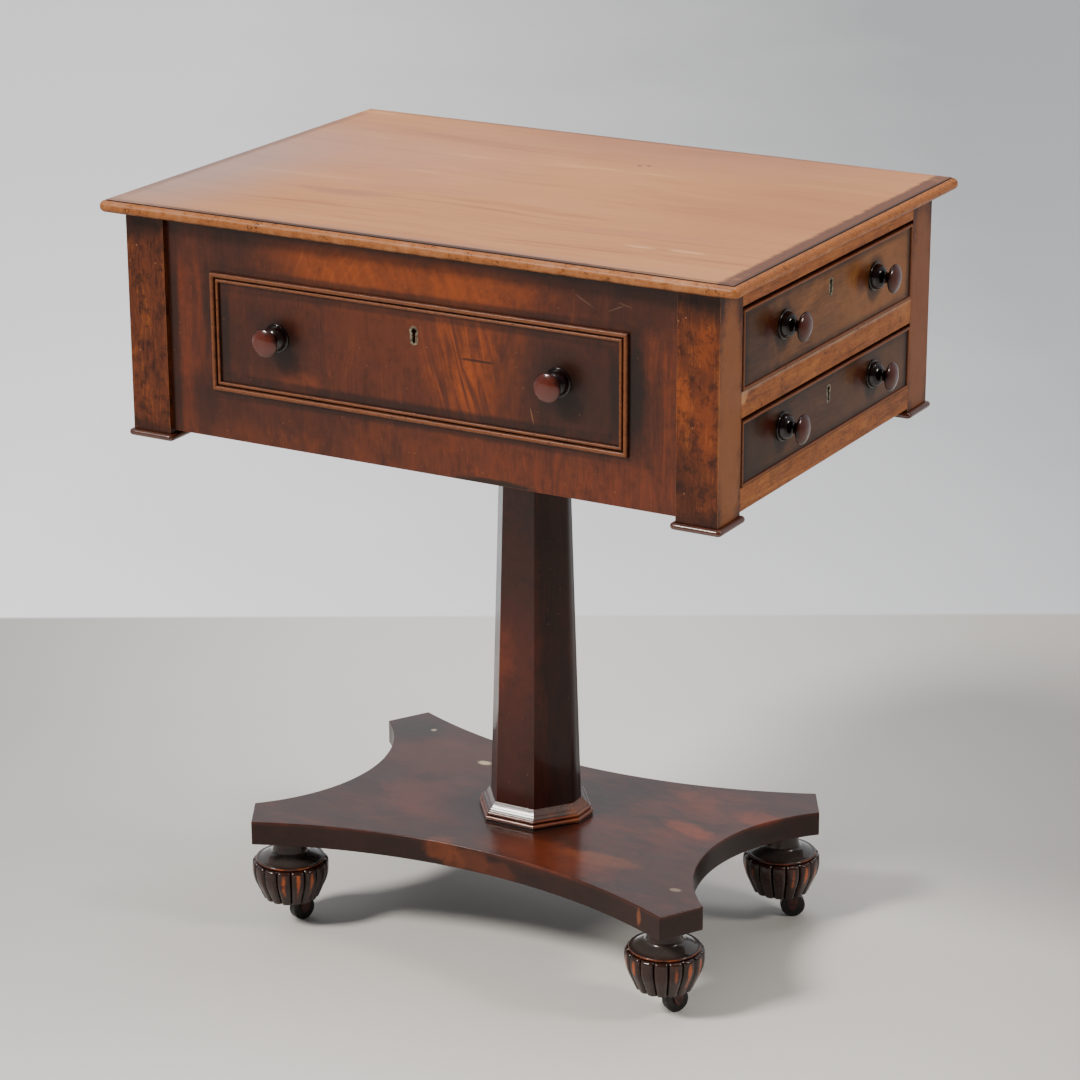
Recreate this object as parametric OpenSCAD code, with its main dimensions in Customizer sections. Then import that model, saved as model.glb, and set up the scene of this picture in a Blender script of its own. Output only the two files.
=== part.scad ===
// Mahogany work table on a tapered octagonal pillar, with a hollow-sided plinth,
// reeded bun feet and castors. Two drawers slide out of the right-hand end (+X).
// The long side at -Y is a sham drawer front, and the far end carries two more.
// The origin is on the floor under the pillar. Sizes are millimetres.

/* [Top] */
// Height of the table over the floor
table_height = 740; // [700:1:800]
// How far the top board stands out past each end of the case
top_overhang_x = 22; // [10:1:55]
// How far the top board stands out past each long side of the case
top_overhang_y = 14; // [6:1:41]
// Thickness of the top board
top_thickness = 11.5; // [9:0.5:20]
// Drop of the quirk above the rounded edge
quirk_drop = 0.8; // [0.4:0.1:2]
// Flat of the quirk, in from the rounded edge
quirk_flat = 0.6; // [0.3:0.1:2]

/* [Case] */
// Length of the case over its posts
case_length = 610; // [560:1:620]
// Width of the case over its posts
case_width = 438; // [400:1:445]
// Width of a post on the long side
post_face = 41; // [36:0.5:50]
// Width of a post on the end
post_side = 42; // [38:0.5:50]
// How far a post stands down past the case
post_drop = 3.5; // [1:0.5:12]
// Thickness of the pad under a post
pad_thickness = 6; // [4:0.5:10]
// How far the pad stands out round its post
pad_overhang = 4.5; // [2:0.5:8]
// Thickness of the long side panels and the far end
panel_thickness = 18; // [16:0.5:22]
// How far the long side panels lie behind the posts
panel_recess = 5; // [2:0.5:8]
// Shrinkage gap between a long panel and each post
panel_shrinkage = 0.5; // [0.2:0.1:1]
// Thickness of the tongue on a panel or rail end
tongue_thickness = 6; // [5:0.5:8]
// Length of the tongue into its post
tongue_length = 8; // [6:0.5:12]

/* [Drawer end] */
// Height of the rail over the upper drawer
top_rail_height = 20.5; // [16:0.5:30]
// Height of the opening for the upper drawer
upper_opening = 75.5; // [65:0.5:90]
// Height of the rail between the drawers
middle_rail_height = 23.5; // [18:0.5:30]
// Height of the opening for the lower drawer
lower_opening = 63; // [58:0.5:80]
// Height of the rail under the lower drawer
bottom_rail_height = 21; // [18:0.5:30]
// Depth of the rails, into the case
rail_depth = 45; // [42:0.5:60]
// Width of the runners that carry the drawers
runner_width = 31; // [26:0.5:33]
// Height of the guides beside the drawers
guide_height = 15; // [8:0.5:25]
// Size of a drawer stop along the drawer
stop_length = 18; // [10:0.5:22]
// Size of a drawer stop across the drawer
stop_width = 30; // [15:0.5:40]
// Height of a drawer stop
stop_height = 5; // [3:0.5:6]
// Distance of each drawer stop from the middle
stop_offset = 60; // [40:1:70]

/* [Drawers] */
// Clearance between the back of a drawer and the far end
drawer_back_gap = 36.5; // [31:0.5:150]
// Thickness of a drawer front
front_thickness = 20; // [18:0.5:24]
// Thickness of a drawer side
side_thickness = 9; // [8:0.5:12]
// Thickness of a drawer back
back_thickness = 9; // [8:0.5:12]
// Thickness of a drawer bottom
bottom_thickness = 6; // [4:0.5:7]
// Height of the drawer bottom over the runners
bottom_height = 7; // [6.5:0.5:9]
// Depth of the grooves that hold the drawer bottom
groove_depth = 4; // [3:0.5:5]
// Gap over a drawer front
front_top_gap = 3; // [1:0.5:4]
// Gap under a drawer front
front_bottom_gap = 0.5; // [0.3:0.1:1]
// Gap beside a drawer front
front_side_gap = 1.5; // [0.5:0.25:3]
// How far a drawer face lies behind the posts
face_set = 0.5; // [0.5:0.1:2]
// How far the drawer sides end below the front
side_top_drop = 2; // [1:0.5:6]
// How far a drawer back ends below the sides
back_top_drop = 4; // [2:0.5:8]
// Length of the dovetails into the front
dovetail_length = 12; // [9:0.5:12.5]
// Number of dovetails at each corner
dovetails = 2; // [2:1:3]
// How much each flank of a dovetail slopes
dovetail_flare = 2; // [1:0.25:2.5]
// Width of the pins between the dovetails
pin_width = 8; // [7:0.5:9]
// Thickness of the cockbead round a drawer front
cockbead_thickness = 3; // [2:0.25:4]
// Depth of the cockbead, front to back
cockbead_depth = 6.5; // [5:0.25:7]
// How far the cockbead stands out past the face
cockbead_proud = 1.5; // [0.5:0.25:1.5]
// Travel of a drawer
drawer_travel = 420; // [200:5:430]

/* [Sham drawer front] */
// Distance of the moulded frame from the ends of its panel
frame_inset_x = 48; // [30:1:80]
// Distance of the moulded frame from the top and bottom of its panel
frame_inset_z = 46; // [30:1:60]
// Width of the double-bead moulding
bead_moulding_width = 9; // [8:0.5:12]
// Diameter of the outer bead
outer_bead = 4.6; // [3:0.1:5]
// Diameter of the inner bead
inner_bead = 3.2; // [2:0.1:3.6]
// Thickness of the moulding under its beads
bead_base = 1.2; // [0.6:0.1:2]
// Distance between the knobs of a long side
long_knob_pitch = 292; // [200:1:340]
// Height of the long side's knobs over the frame's middle
long_knob_rise = 2; // [0:0.5:10]
// Height of the long side's keyhole over the frame's middle
long_key_rise = 24; // [15:0.5:30]

/* [Knobs and locks] */
// Diameter of a knob's head
knob_head = 27; // [22:0.5:32]
// Diameter of a knob's collar
knob_collar = 27; // [24:0.5:30]
// Height of a knob over its face
knob_height = 24.5; // [22:0.5:28]
// Diameter of a knob's neck
knob_neck = 10; // [7:0.5:12]
// Diameter of the spigot that holds a knob
knob_spigot = 10; // [7:0.5:12]
// Length of the spigot into a panel or a sham front
knob_spigot_length = 14; // [12:0.5:16]
// Distance between a drawer's knobs
drawer_knob_pitch = 188; // [150:1:240]
// Height of a drawer's knobs over the middle of its front
drawer_knob_rise = 4; // [0:0.5:6]
// Distance of a keyhole below the top of its drawer front
key_drop = 20; // [18:0.5:24]
// Height of an escutcheon
escutcheon_height = 17.5; // [15:0.5:20]
// Width of an escutcheon
escutcheon_width = 9.2; // [8:0.2:11]
// Thickness of an escutcheon
escutcheon_depth = 3; // [2:0.5:4]
// Diameter of the round part of a keyhole
key_round = 5; // [4:0.25:5.5]
// Width of the slot of a keyhole
key_slot = 3; // [2:0.25:3.5]
// Width of a lock case
lock_width = 52; // [44:1:64]
// Height of a lock case
lock_height = 34; // [32:0.5:40]
// Depth of a lock case, let into the drawer front
lock_depth = 11; // [9:0.5:12]
// Thickness of the lock's metal
lock_metal = 1.5; // [1:0.25:2]
// Width of a lock bolt
bolt_width = 22; // [14:0.5:30]
// Thickness of a lock bolt
bolt_thickness = 4; // [3:0.25:5]
// Length of a lock bolt
bolt_length = 14; // [10:0.5:16]
// Travel of a lock bolt
bolt_travel = 6.5; // [4:0.5:8]

/* [Pillar] */
// Width of the pillar at its foot, along the table
foot_width = 91; // [80:0.5:100]
// Depth of the pillar at its foot, across the table
foot_depth = 82.8; // [74:0.2:92]
// Size of the pillar at its foot over the slanted faces
foot_slant = 84.3; // [82:0.1:86]
// Width of the pillar at its head, along the table
head_width = 68.4; // [62:0.2:74]
// Depth of the pillar at its head, across the table
head_depth = 57.8; // [52:0.2:64]
// Size of the pillar at its head over the slanted faces
head_slant = 60.9; // [57:0.1:64]
// Angle of the slanted faces from the long axis
slant_angle = 37.8; // [36:0.1:40]
// Diameter of the pillar's tenons
pillar_tenon = 36; // [28:0.5:44]
// Length of the tenon into the plinth
foot_tenon_length = 17; // [10:0.5:20]
// Height of the moulding round the pillar's foot
foot_moulding_height = 18; // [16:0.5:26]
// How far the moulding stands out from the pillar
foot_moulding_out = 11; // [10:0.5:16]
// Diameter of the lower bead of the moulding
lower_bead = 4.6; // [3:0.1:5]
// Diameter of the upper bead of the moulding
upper_bead = 3.4; // [2:0.1:4]
// Width of the bearer across the case
bearer_width = 120; // [100:1:160]
// Thickness of the bearer
bearer_thickness = 20; // [18:0.5:24]
// How far the bearer hangs below the case
bearer_drop = 5; // [4:0.5:12]
// Depth of the housings that hold the bearer's ends
housing_depth = 6; // [4:0.5:8]

/* [Plinth] */
// Length of the plinth over its arms
plinth_length = 496; // [460:1:540]
// Width of the plinth over its arms
plinth_width = 332; // [310:1:360]
// Thickness of the plinth
plinth_thickness = 24; // [21:0.5:32]
// Cut of an arm's end, along the table
arm_cut_x = 23.5; // [15:0.5:32]
// Cut of an arm's end, across the table
arm_cut_y = 41.5; // [30:0.5:50]
// Depth of the hollow in the long sides
long_hollow = 50; // [30:1:60]
// Depth of the hollow in the ends
end_hollow = 53; // [30:1:65]

/* [Feet] */
// Distance of a foot's axis in from the end of the plinth
foot_inset_x = 40; // [33:1:53]
// Distance of a foot's axis in from the long side of the plinth
foot_inset_y = 42; // [36:1:53]
// Height of a bun foot
bun_height = 65.5; // [60:0.5:80]
// Diameter of a bun foot over its reeds
bun_diameter = 75.5; // [72:0.5:82]
// Height of the widest part of a bun
bun_middle = 31.5; // [28:0.5:33]
// Height up to which a bun tapers in a straight line
bun_taper_height = 16; // [10:0.5:22]
// Height of the reeds' tops
reed_top = 38.5; // [37.5:0.5:41]
// Radius of the reeds' rounded tops
reed_round = 3; // [2:0.25:3.25]
// Number of reeds round a bun
reeds = 16; // [12:1:16]
// Depth of the grooves between reeds
reed_depth = 3; // [2:0.25:4]
// Width of a reed's rounded flank
reed_flank = 4.2; // [3:0.1:4.3]
// Diameter of the bead at the arris over the reeds
arris_diameter = 68; // [60:0.5:70]
// Thickness of the bead at the arris
arris_bead = 2.6; // [2:0.1:3.6]
// Drop of the quirk between the reeds and the bead
arris_quirk = 0.4; // [0.2:0.1:1]
// Rise of the smooth shoulder over the bead, at the foot's axis
shoulder_rise = 8.7; // [6:0.1:12]
// Diameter of the neck under the plinth
neck_diameter = 34; // [28:0.5:40]
// Diameter of the dowel into the plinth
dowel_diameter = 20; // [14:0.5:24]
// Length of the dowel into the plinth
dowel_length = 15; // [8:0.5:18]

/* [Castors] */
// Diameter of a castor wheel
wheel_diameter = 24; // [21:0.5:27]
// Width of a castor wheel
wheel_width = 10; // [7:0.5:11]
// Diameter of an axle
axle_diameter = 3; // [2.5:0.25:4]
// Distance of the axle behind the pintle
castor_trail = 12; // [11:0.5:14]
// Diameter of a castor's plate
plate_diameter = 30; // [26:0.5:36]
// Thickness of a castor's plate
plate_thickness = 1.7; // [1.5:0.1:3]
// Thickness of a horn's crown
crown_thickness = 2.5; // [2:0.25:4]
// Thickness of a horn's cheeks
cheek_thickness = 2; // [1.5:0.25:3]
// Diameter of the pintle
pintle_diameter = 5; // [4:0.25:6]
// Diameter of the pintle's riveted end
rivet_diameter = 8; // [7:0.25:9]
// Thickness of the pintle's riveted end
rivet_thickness = 1.2; // [0.8:0.1:1.5]
// Direction in which each castor trails, from the front left foot round
castor_angles = [67, 59, 32, 48];

/* [Clearances] */
// Clearance in a glued joint
joint_gap = 0.1; // [0.05:0.05:0.2]
// Gap in the mitres of the mouldings and beads
mitre_gap = 0.1; // [0.05:0.05:0.3]
// Clearance between a drawer side and its guide
guide_gap = 0.75; // [0.4:0.05:1.5]
// Radial clearance of a pintle or an axle
pin_gap = 0.05; // [0.02:0.01:0.09]
// Clearance of a lock bolt in its lock
bolt_gap = 0.2; // [0.1:0.05:0.4]
// Clearance between a wheel and its horn
wheel_gap = 0.8; // [0.6:0.1:2]

/* [Hidden] */

$fn = 48;
eps = 0.01;

top_length = case_length + 2 * top_overhang_x;
top_width = case_width + 2 * top_overhang_y;
foot_pitch_x = plinth_length - 2 * foot_inset_x;
foot_pitch_y = plinth_width - 2 * foot_inset_y;
drawer_length = case_length - panel_thickness - face_set - drawer_back_gap;
case_height = top_rail_height + upper_opening + middle_rail_height + lower_opening + bottom_rail_height;
top_under = table_height - top_thickness;
case_bottom = top_under - case_height;
half_length = case_length / 2;
half_width = case_width / 2;
span_x = case_length - 2 * post_face;
span_y = case_width - 2 * post_side;
lower_floor = case_bottom + bottom_rail_height;
upper_floor = lower_floor + lower_opening + middle_rail_height;
panel_inside = half_width - panel_recess - panel_thickness;
tongue_in = (panel_thickness - tongue_thickness) / 2;
rail_back = half_length - rail_depth;

upper_front_height = upper_opening - front_top_gap - front_bottom_gap;
lower_front_height = lower_opening - front_top_gap - front_bottom_gap;
front_width = span_y - 2 * front_side_gap;
side_out = span_y / 2 - guide_gap - front_side_gap / 2;
side_in = side_out - side_thickness;
tail_floor = bottom_height + bottom_thickness;

plinth_top = plinth_thickness + bun_height + castor_height();
plinth_under = plinth_top - plinth_thickness;
bearer_under = case_bottom - bearer_drop;
half_plinth_x = plinth_length / 2;
half_plinth_y = plinth_width / 2;
bun_under = castor_height();
bun_radius = bun_diameter / 2;
taper_angle = asin((bun_middle - bun_taper_height) / bun_radius);
taper_lap = 0.05;
function ball_radius(height) = sqrt(bun_radius * bun_radius - (height - bun_middle) * (height - bun_middle));
axle_height = wheel_diameter / 2;
crown_under = wheel_diameter + wheel_gap;
crown_top = crown_under + crown_thickness;
cheek_in = wheel_width / 2 + wheel_gap / 2;
cheek_out = cheek_in + cheek_thickness;
eye_radius = axle_diameter / 2 + 2.5;

FEET = [[-1, -1], [1, -1], [1, 1], [-1, 1]];

function castor_height() = wheel_diameter + wheel_gap + crown_thickness + plate_thickness;

// The sides of the pillar: the direction each faces, and its distance from the axis.
function face_angles() = [0, slant_angle, 90, 180 - slant_angle,
    180, 180 + slant_angle, 270, 360 - slant_angle];
function face_distances(w, d, s) = [w / 2, s / 2, d / 2, s / 2, w / 2, s / 2, d / 2, s / 2];
function meet(a, da, b, db) =
    [(da * sin(b) - db * sin(a)) / sin(b - a), (db * cos(a) - da * cos(b)) / sin(b - a)];
function octagon(dist) = let (a = face_angles())
    [for (i = [0:7]) meet(a[i], dist[i], a[(i + 1) % 8], dist[(i + 1) % 8])];

// How far a point lies along a side that faces in direction a.
function along(point, a) = point[1] * cos(a) - point[0] * sin(a);

// A block between two opposite corners.
module block(low, high) {
    translate(low)
        cube(high - low);
}

// A slab whose four edges are half round, under an optional quirk. It stands on z = 0.
module round_edged_slab(length, width, thickness, drop, flat) {
    intersection() {
        rotate([90, 0, 90])
            linear_extrude(length + 2, center = true)
                slab_profile(width, thickness, drop, flat);
        rotate([90, 0, 0])
            linear_extrude(width + 2, center = true)
                slab_profile(length, thickness, drop, flat);
    }
}

module slab_profile(size, thickness, drop, flat) {
    nose = (thickness - drop) / 2;
    translate([-size / 2 + nose, 0])
        square([size - 2 * nose, 2 * nose]);
    for (side = [-1, 1])
        translate([side * (size / 2 - nose), nose])
            circle(nose);
    if (drop > 0)
        translate([-size / 2 + nose + flat, 0])
            square([size - 2 * nose - 2 * flat, thickness]);
}

// A length of moulding along X, mitred at both ends. Its profile is the child: x runs in
// from the outer edge and y stands up from the ground it lies on.
module mitred_length(length, width, height) {
    intersection() {
        rotate([90, 0, 90])
            linear_extrude(length + 2, center = true)
                children();
        linear_extrude(height)
            polygon([[-length / 2 + mitre_gap, 0], [length / 2 - mitre_gap, 0],
                [length / 2 - width - mitre_gap, width], [-length / 2 + width + mitre_gap, width]]);
    }
}

// Four mitred lengths round a rectangle in the XY plane.
module mitred_frame(size_x, size_y, width, height) {
    for (side = [0, 1]) {
        rotate([0, 0, side * 180])
            translate([0, -size_y / 2, 0])
                mitred_length(size_x, width, height)
                    children();
        rotate([0, 0, 90 + side * 180])
            translate([0, -size_x / 2, 0])
                mitred_length(size_y, width, height)
                    children();
    }
}

// Turns what is drawn in the XY plane to face one side of the table.
module facing(side) {
    if (side == "front")
        translate([0, -half_width + panel_recess, 0])
            rotate([90, 0, 0])
                children();
    if (side == "rear")
        rotate([0, 0, 180])
            translate([0, -half_width + panel_recess, 0])
                rotate([90, 0, 0])
                    children();
    if (side == "end")
        translate([half_length - face_set, 0, 0])
            rotate([90, 0, 90])
                children();
    if (side == "far")
        rotate([0, 0, 180])
            translate([half_length - face_set, 0, 0])
                rotate([90, 0, 90])
                    children();
}

// A keyhole, or the outline of the escutcheon round it, centred on its height.
module keyhole_outline(width, height, slot) {
    translate([0, height / 2 - width / 2])
        circle(width / 2);
    translate([-slot / 2, -height / 2 + slot / 2])
        square([slot, height - width / 2 - slot / 2]);
    translate([0, -height / 2 + slot / 2])
        circle(slot / 2);
}

key_height = escutcheon_height - (escutcheon_width - key_round);

module escutcheon() {
    translate([0, 0, -escutcheon_depth])
        linear_extrude(escutcheon_depth)
            difference() {
                keyhole_outline(escutcheon_width, escutcheon_height, escutcheon_width - 1);
                keyhole_outline(key_round, key_height, key_slot);
            }
}

module escutcheon_seat(depth) {
    translate([0, 0, -escutcheon_depth])
        linear_extrude(escutcheon_depth + 1)
            keyhole_outline(escutcheon_width, escutcheon_height, escutcheon_width - 1);
    translate([0, 0, -depth])
        linear_extrude(depth + 1)
            keyhole_outline(key_round, key_height, key_slot);
}

// A turned knob on z = 0, with its spigot below: stepped collar, neck and flattened head.
module knob(spigot) {
    head = knob_head / 2;
    rim = 1.8;
    rim_height = knob_height - 5.5;
    dome = ((head - 0.6) * (head - 0.6) + 5.5 * 5.5) / 11;
    back = ((head - 0.6) * (head - 0.6) + 4 * 4) / 8;
    rotate_extrude($fn = 64) {
        translate([0, -spigot])
            square([knob_spigot / 2, spigot + 1]);
        square([knob_collar / 2, 1.6]);
        translate([0, 1])
            square([knob_collar / 2 - 1.4, 1.6]);
        intersection() {
            translate([knob_neck / 2, 4.6])
                circle(knob_collar / 2 - knob_neck / 2 - 2.4);
            translate([0, 1])
                square([knob_collar / 2, 8]);
        }
        square([knob_neck / 2, rim_height]);
        intersection() {
            translate([0, knob_height - dome])
                circle(dome);
            translate([0, rim_height - 4 + back])
                circle(back);
            translate([0, rim_height - 5])
                square([head, 12]);
        }
        translate([head - rim, rim_height])
            circle(rim);
    }
}

module knob_seat(depth) {
    translate([0, 0, -depth])
        cylinder(d = knob_spigot + 2 * joint_gap, h = depth + 1);
}

// Case

module top_board() {
    color("#9b6a4c")
        translate([0, 0, top_under])
            round_edged_slab(top_length, top_width, top_thickness, quirk_drop, quirk_flat);
}

module corner_posts() {
    color("#4a2218")
        for (sx = [-1, 1], sy = [-1, 1])
            difference() {
                translate([sx * (half_length - post_face / 2), sy * (half_width - post_side / 2), 0])
                    translate([-post_face / 2, -post_side / 2, case_bottom - post_drop])
                        cube([post_face, post_side, case_height + post_drop]);
                post_joints(sx);
            }
}

// Grooves for the panels and mortises for the rails.
module post_joints(sx) {
    for (sy = [-1, 1])
        panel_tongues(sy);
    if (sx < 0)
        far_tongues(joint_gap);
    else
        rail_tongues(joint_gap);
}

module panel_tongues(sy) {
    y = sy * (half_width - panel_recess - panel_thickness / 2);
    length = span_x + 2 * tongue_length + 2 * joint_gap;
    translate([-length / 2, y - tongue_thickness / 2 - joint_gap, case_bottom - eps])
        cube([length, tongue_thickness + 2 * joint_gap, case_height + 1]);
}

module far_tongues(gap) {
    width = span_y + 2 * tongue_length + 2 * gap;
    translate([-half_length + tongue_in - gap, -width / 2, case_bottom - (gap > 0 ? eps : 0)])
        cube([tongue_thickness + 2 * gap, width, case_height + (gap > 0 ? 1 : 0)]);
}

module rail_tongues(gap) {
    rail_tongue(case_bottom, bottom_rail_height, gap);
    rail_tongue(lower_floor + lower_opening, middle_rail_height, gap);
    rail_tongue(upper_floor + upper_opening, top_rail_height, gap);
}

module rail_tongue(floor, height, gap) {
    width = span_y + 2 * tongue_length + 2 * gap;
    translate([half_length - tongue_in - tongue_thickness - gap, -width / 2, floor + 2 - gap])
        cube([tongue_thickness + 2 * gap, width, height - 4 + 2 * gap]);
}

module post_pads() {
    color("#3a1c14")
        for (sx = [-1, 1], sy = [-1, 1])
            translate([sx * (half_length - post_face / 2), sy * (half_width - post_side / 2),
                case_bottom - post_drop - pad_thickness])
                round_edged_slab(post_face + 2 * pad_overhang, post_side + 2 * pad_overhang,
                    pad_thickness, 0, 0);
}

// A long side panel, facing -Y, with its tongues, knob holes, keyhole and bearer housing.
module long_panel() {
    width = span_x - 2 * panel_shrinkage;
    difference() {
        union() {
            block([-width / 2, -half_width + panel_recess, case_bottom],
                [width / 2, -panel_inside, top_under]);
            block([-span_x / 2 - tongue_length, -panel_inside - tongue_in - tongue_thickness, case_bottom],
                [span_x / 2 + tongue_length, -panel_inside - tongue_in, top_under]);
        }
        facing("front")
            long_fittings()
                knob_seat(knob_spigot_length);
        facing("front")
            translate([0, frame_middle + long_key_rise, 0])
                escutcheon_seat(escutcheon_depth + 4);
        block([-bearer_width / 2 - joint_gap, -panel_inside - housing_depth - joint_gap, case_bottom - 1],
            [bearer_width / 2 + joint_gap, -panel_inside + 1, bearer_under + bearer_thickness]);
    }
}

frame_middle = case_bottom + case_height / 2;
frame_width = span_x - 2 * frame_inset_x;
frame_height = case_height - 2 * frame_inset_z;

// Places its children at the two knobs of a long side.
module long_fittings() {
    for (side = [-1, 1])
        translate([side * long_knob_pitch / 2, frame_middle + long_knob_rise, 0])
            children();
}

module front_panel() {
    color("#562a1c")
        long_panel();
}

module rear_panel() {
    color("#562a1c")
        rotate([0, 0, 180])
            long_panel();
}

module bead_profile() {
    square([bead_moulding_width, bead_base]);
    intersection() {
        union() {
            translate([outer_bead / 2, bead_base + 0.4])
                circle(d = outer_bead);
            translate([bead_moulding_width - inner_bead / 2, bead_base])
                circle(d = inner_bead);
        }
        square([bead_moulding_width, bead_base + outer_bead]);
    }
}

module long_moulding() {
    translate([0, frame_middle, 0])
        mitred_frame(frame_width, frame_height, bead_moulding_width, bead_base + outer_bead)
            bead_profile();
}

module front_moulding() {
    color("#6d3a26")
        facing("front")
            long_moulding();
}

module rear_moulding() {
    color("#6d3a26")
        facing("rear")
            long_moulding();
}

module rail(floor, height) {
    block([rail_back, -span_y / 2, floor], [half_length, span_y / 2, floor + height]);
    rail_tongue(floor, height, 0);
}

// The mortise that a lock bolt slides up into.
module bolt_mortise(floor) {
    gap = 2 * bolt_gap;
    translate([bolt_x - bolt_thickness / 2 - gap, -bolt_width / 2 - gap, floor - eps])
        cube([bolt_thickness + 2 * gap, bolt_width + 2 * gap, bolt_travel + gap]);
}

module top_rail() {
    color("#5a2e1f")
        difference() {
            rail(upper_floor + upper_opening, top_rail_height);
            bolt_mortise(upper_floor + upper_opening);
        }
}

module middle_rail() {
    color("#5a2e1f")
        difference() {
            rail(lower_floor + lower_opening, middle_rail_height);
            bolt_mortise(lower_floor + lower_opening);
        }
}

module bottom_rail() {
    color("#5a2e1f")
        rail(case_bottom, bottom_rail_height);
}

// Far end, with a full-width sinking for each sham drawer front.
sham_thickness = 8;

module far_end_panel() {
    color("#5a2e1f")
        difference() {
            union() {
                block([-half_length, -span_y / 2, case_bottom],
                    [-half_length + panel_thickness, span_y / 2, top_under]);
                far_tongues(0);
            }
            for (opening = [[lower_floor, lower_opening], [upper_floor, upper_opening]])
                block([-half_length - 1, -span_y / 2 - eps, opening[0]],
                    [-half_length + face_set + sham_thickness, span_y / 2 + eps, opening[0] + opening[1]]);
            facing("far")
                sham_fittings()
                    knob_seat(knob_spigot_length);
        }
}

// Places its children at the knobs of both sham fronts.
module sham_fittings() {
    for (row = [[lower_floor, lower_front_height], [upper_floor, upper_front_height]], side = [-1, 1])
        translate([side * drawer_knob_pitch / 2,
            row[0] + front_bottom_gap + row[1] / 2 + drawer_knob_rise, 0])
            children();
}

// A drawer face in the XY plane, its face at z = 0, rebated all round for the cockbead.
module rebated_board(height, thickness) {
    body_depth = cockbead_depth - cockbead_proud;
    translate([-front_width / 2, 0, -thickness])
        cube([front_width, height, thickness - body_depth]);
    translate([-front_width / 2 + cockbead_thickness, cockbead_thickness, -thickness])
        cube([front_width - 2 * cockbead_thickness, height - 2 * cockbead_thickness, thickness]);
}

module sham_fronts() {
    color("#5e3020")
        facing("far")
            for (row = [[lower_floor, lower_front_height], [upper_floor, upper_front_height]])
                translate([0, row[0] + front_bottom_gap, 0])
                    difference() {
                        rebated_board(row[1], sham_thickness);
                        for (side = [-1, 1])
                            translate([side * drawer_knob_pitch / 2, row[1] / 2 + drawer_knob_rise, 0])
                                knob_seat(knob_spigot_length);
                        translate([0, row[1] - key_drop, 0])
                            escutcheon_seat(escutcheon_depth + 2);
                    }
}

module cockbead_profile() {
    nose = cockbead_thickness / 2;
    square([cockbead_thickness, cockbead_depth - nose]);
    translate([nose, cockbead_depth - nose])
        circle(nose);
}

module cockbeads(height) {
    translate([0, height / 2, cockbead_proud - cockbead_depth])
        mitred_frame(front_width, height, cockbead_thickness, cockbead_depth)
            cockbead_profile();
}

module sham_cockbeads() {
    color("#4a2217")
        facing("far")
            for (row = [[lower_floor, lower_front_height], [upper_floor, upper_front_height]])
                translate([0, row[0] + front_bottom_gap, 0])
                    cockbeads(row[1]);
}

module case_knobs() {
    color("#2a1410") {
        for (side = ["front", "rear"])
            facing(side)
                long_fittings()
                    knob(knob_spigot_length);
        facing("far")
            sham_fittings()
                knob(knob_spigot_length);
    }
}

module case_escutcheons() {
    color("#8d7b5a") {
        for (side = ["front", "rear"])
            facing(side)
                translate([0, frame_middle + long_key_rise, 0])
                    escutcheon();
        facing("far")
            for (row = [[lower_floor, lower_front_height], [upper_floor, upper_front_height]])
                translate([0, row[0] + front_bottom_gap + row[1] - key_drop, 0])
                    escutcheon();
    }
}

// Inside the case

module runner_pair(floor, height) {
    for (sy = [-1, 1])
        translate([-span_x / 2, sy > 0 ? panel_inside - runner_width : -panel_inside, floor])
            cube([span_x / 2 + rail_back, runner_width, height]);
}

module upper_runners() {
    color("#a98458")
        runner_pair(upper_floor - middle_rail_height, middle_rail_height);
}

module lower_runners() {
    color("#a98458")
        runner_pair(bearer_under + bearer_thickness, lower_floor - bearer_under - bearer_thickness);
}

module kickers() {
    color("#a98458")
        runner_pair(upper_floor + upper_opening, top_rail_height);
}

module drawer_guides() {
    width = panel_inside - side_out - guide_gap;
    color("#a98458")
        for (floor = [lower_floor, upper_floor], sy = [-1, 1])
            translate([-span_x / 2, sy > 0 ? panel_inside - width : -panel_inside, floor])
                cube([span_x / 2 + rail_back, width, guide_height]);
}

module drawer_stops() {
    color("#a98458")
        for (floor = [lower_floor, upper_floor], side = [-1, 1])
            translate([half_length - face_set - front_thickness - stop_length,
                side * stop_offset - stop_width / 2, floor])
                cube([stop_length, stop_width, stop_height]);
}

module bearer() {
    color("#8a6238")
        difference() {
            block([-bearer_width / 2, -panel_inside - housing_depth, bearer_under],
                [bearer_width / 2, panel_inside + housing_depth, bearer_under + bearer_thickness]);
            translate([0, 0, bearer_under - 1])
                cylinder(d = pillar_tenon + 2 * joint_gap, h = bearer_thickness + 2);
            // below the case the ends stop short of the side panels
            for (sy = [-1, 1])
                translate([-bearer_width / 2 - 1,
                    sy > 0 ? panel_inside : -panel_inside - housing_depth - 1, bearer_under - 1])
                    cube([bearer_width + 2, housing_depth + 1, bearer_drop + 1]);
        }
}

// Drawers. Each is drawn with the bottom of its sides at z = 0 and its face at x = 0.

module in_case(floor) {
    translate([half_length - face_set, 0, floor])
        children();
}

// Dovetails seen from the side: wide at the tip, between z = low and z = high.
module tails(low, high, root, length, gap) {
    pitch = (high - low) / dovetails;
    half = (pitch - pin_width) / 2;
    for (i = [0:dovetails - 1]) {
        middle = low + (i + 0.5) * pitch;
        polygon([[root, middle - half + dovetail_flare - gap], [root + length + gap, middle - half - gap],
            [root + length + gap, middle + half + gap], [root, middle + half - dovetail_flare + gap]]);
    }
}

// The pins between the back's dovetails.
module pins(low, high, gap) {
    difference() {
        translate([-drawer_length - gap, low - gap])
            square([back_thickness + gap, high - low + 2 * gap]);
        mirror([1, 0])
            tails(low, high, drawer_length - back_thickness, back_thickness, -gap);
    }
}

module through_side(from, to) {
    translate([0, to, 0])
        rotate([90, 0, 0])
            linear_extrude(to - from)
                children();
}

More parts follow.
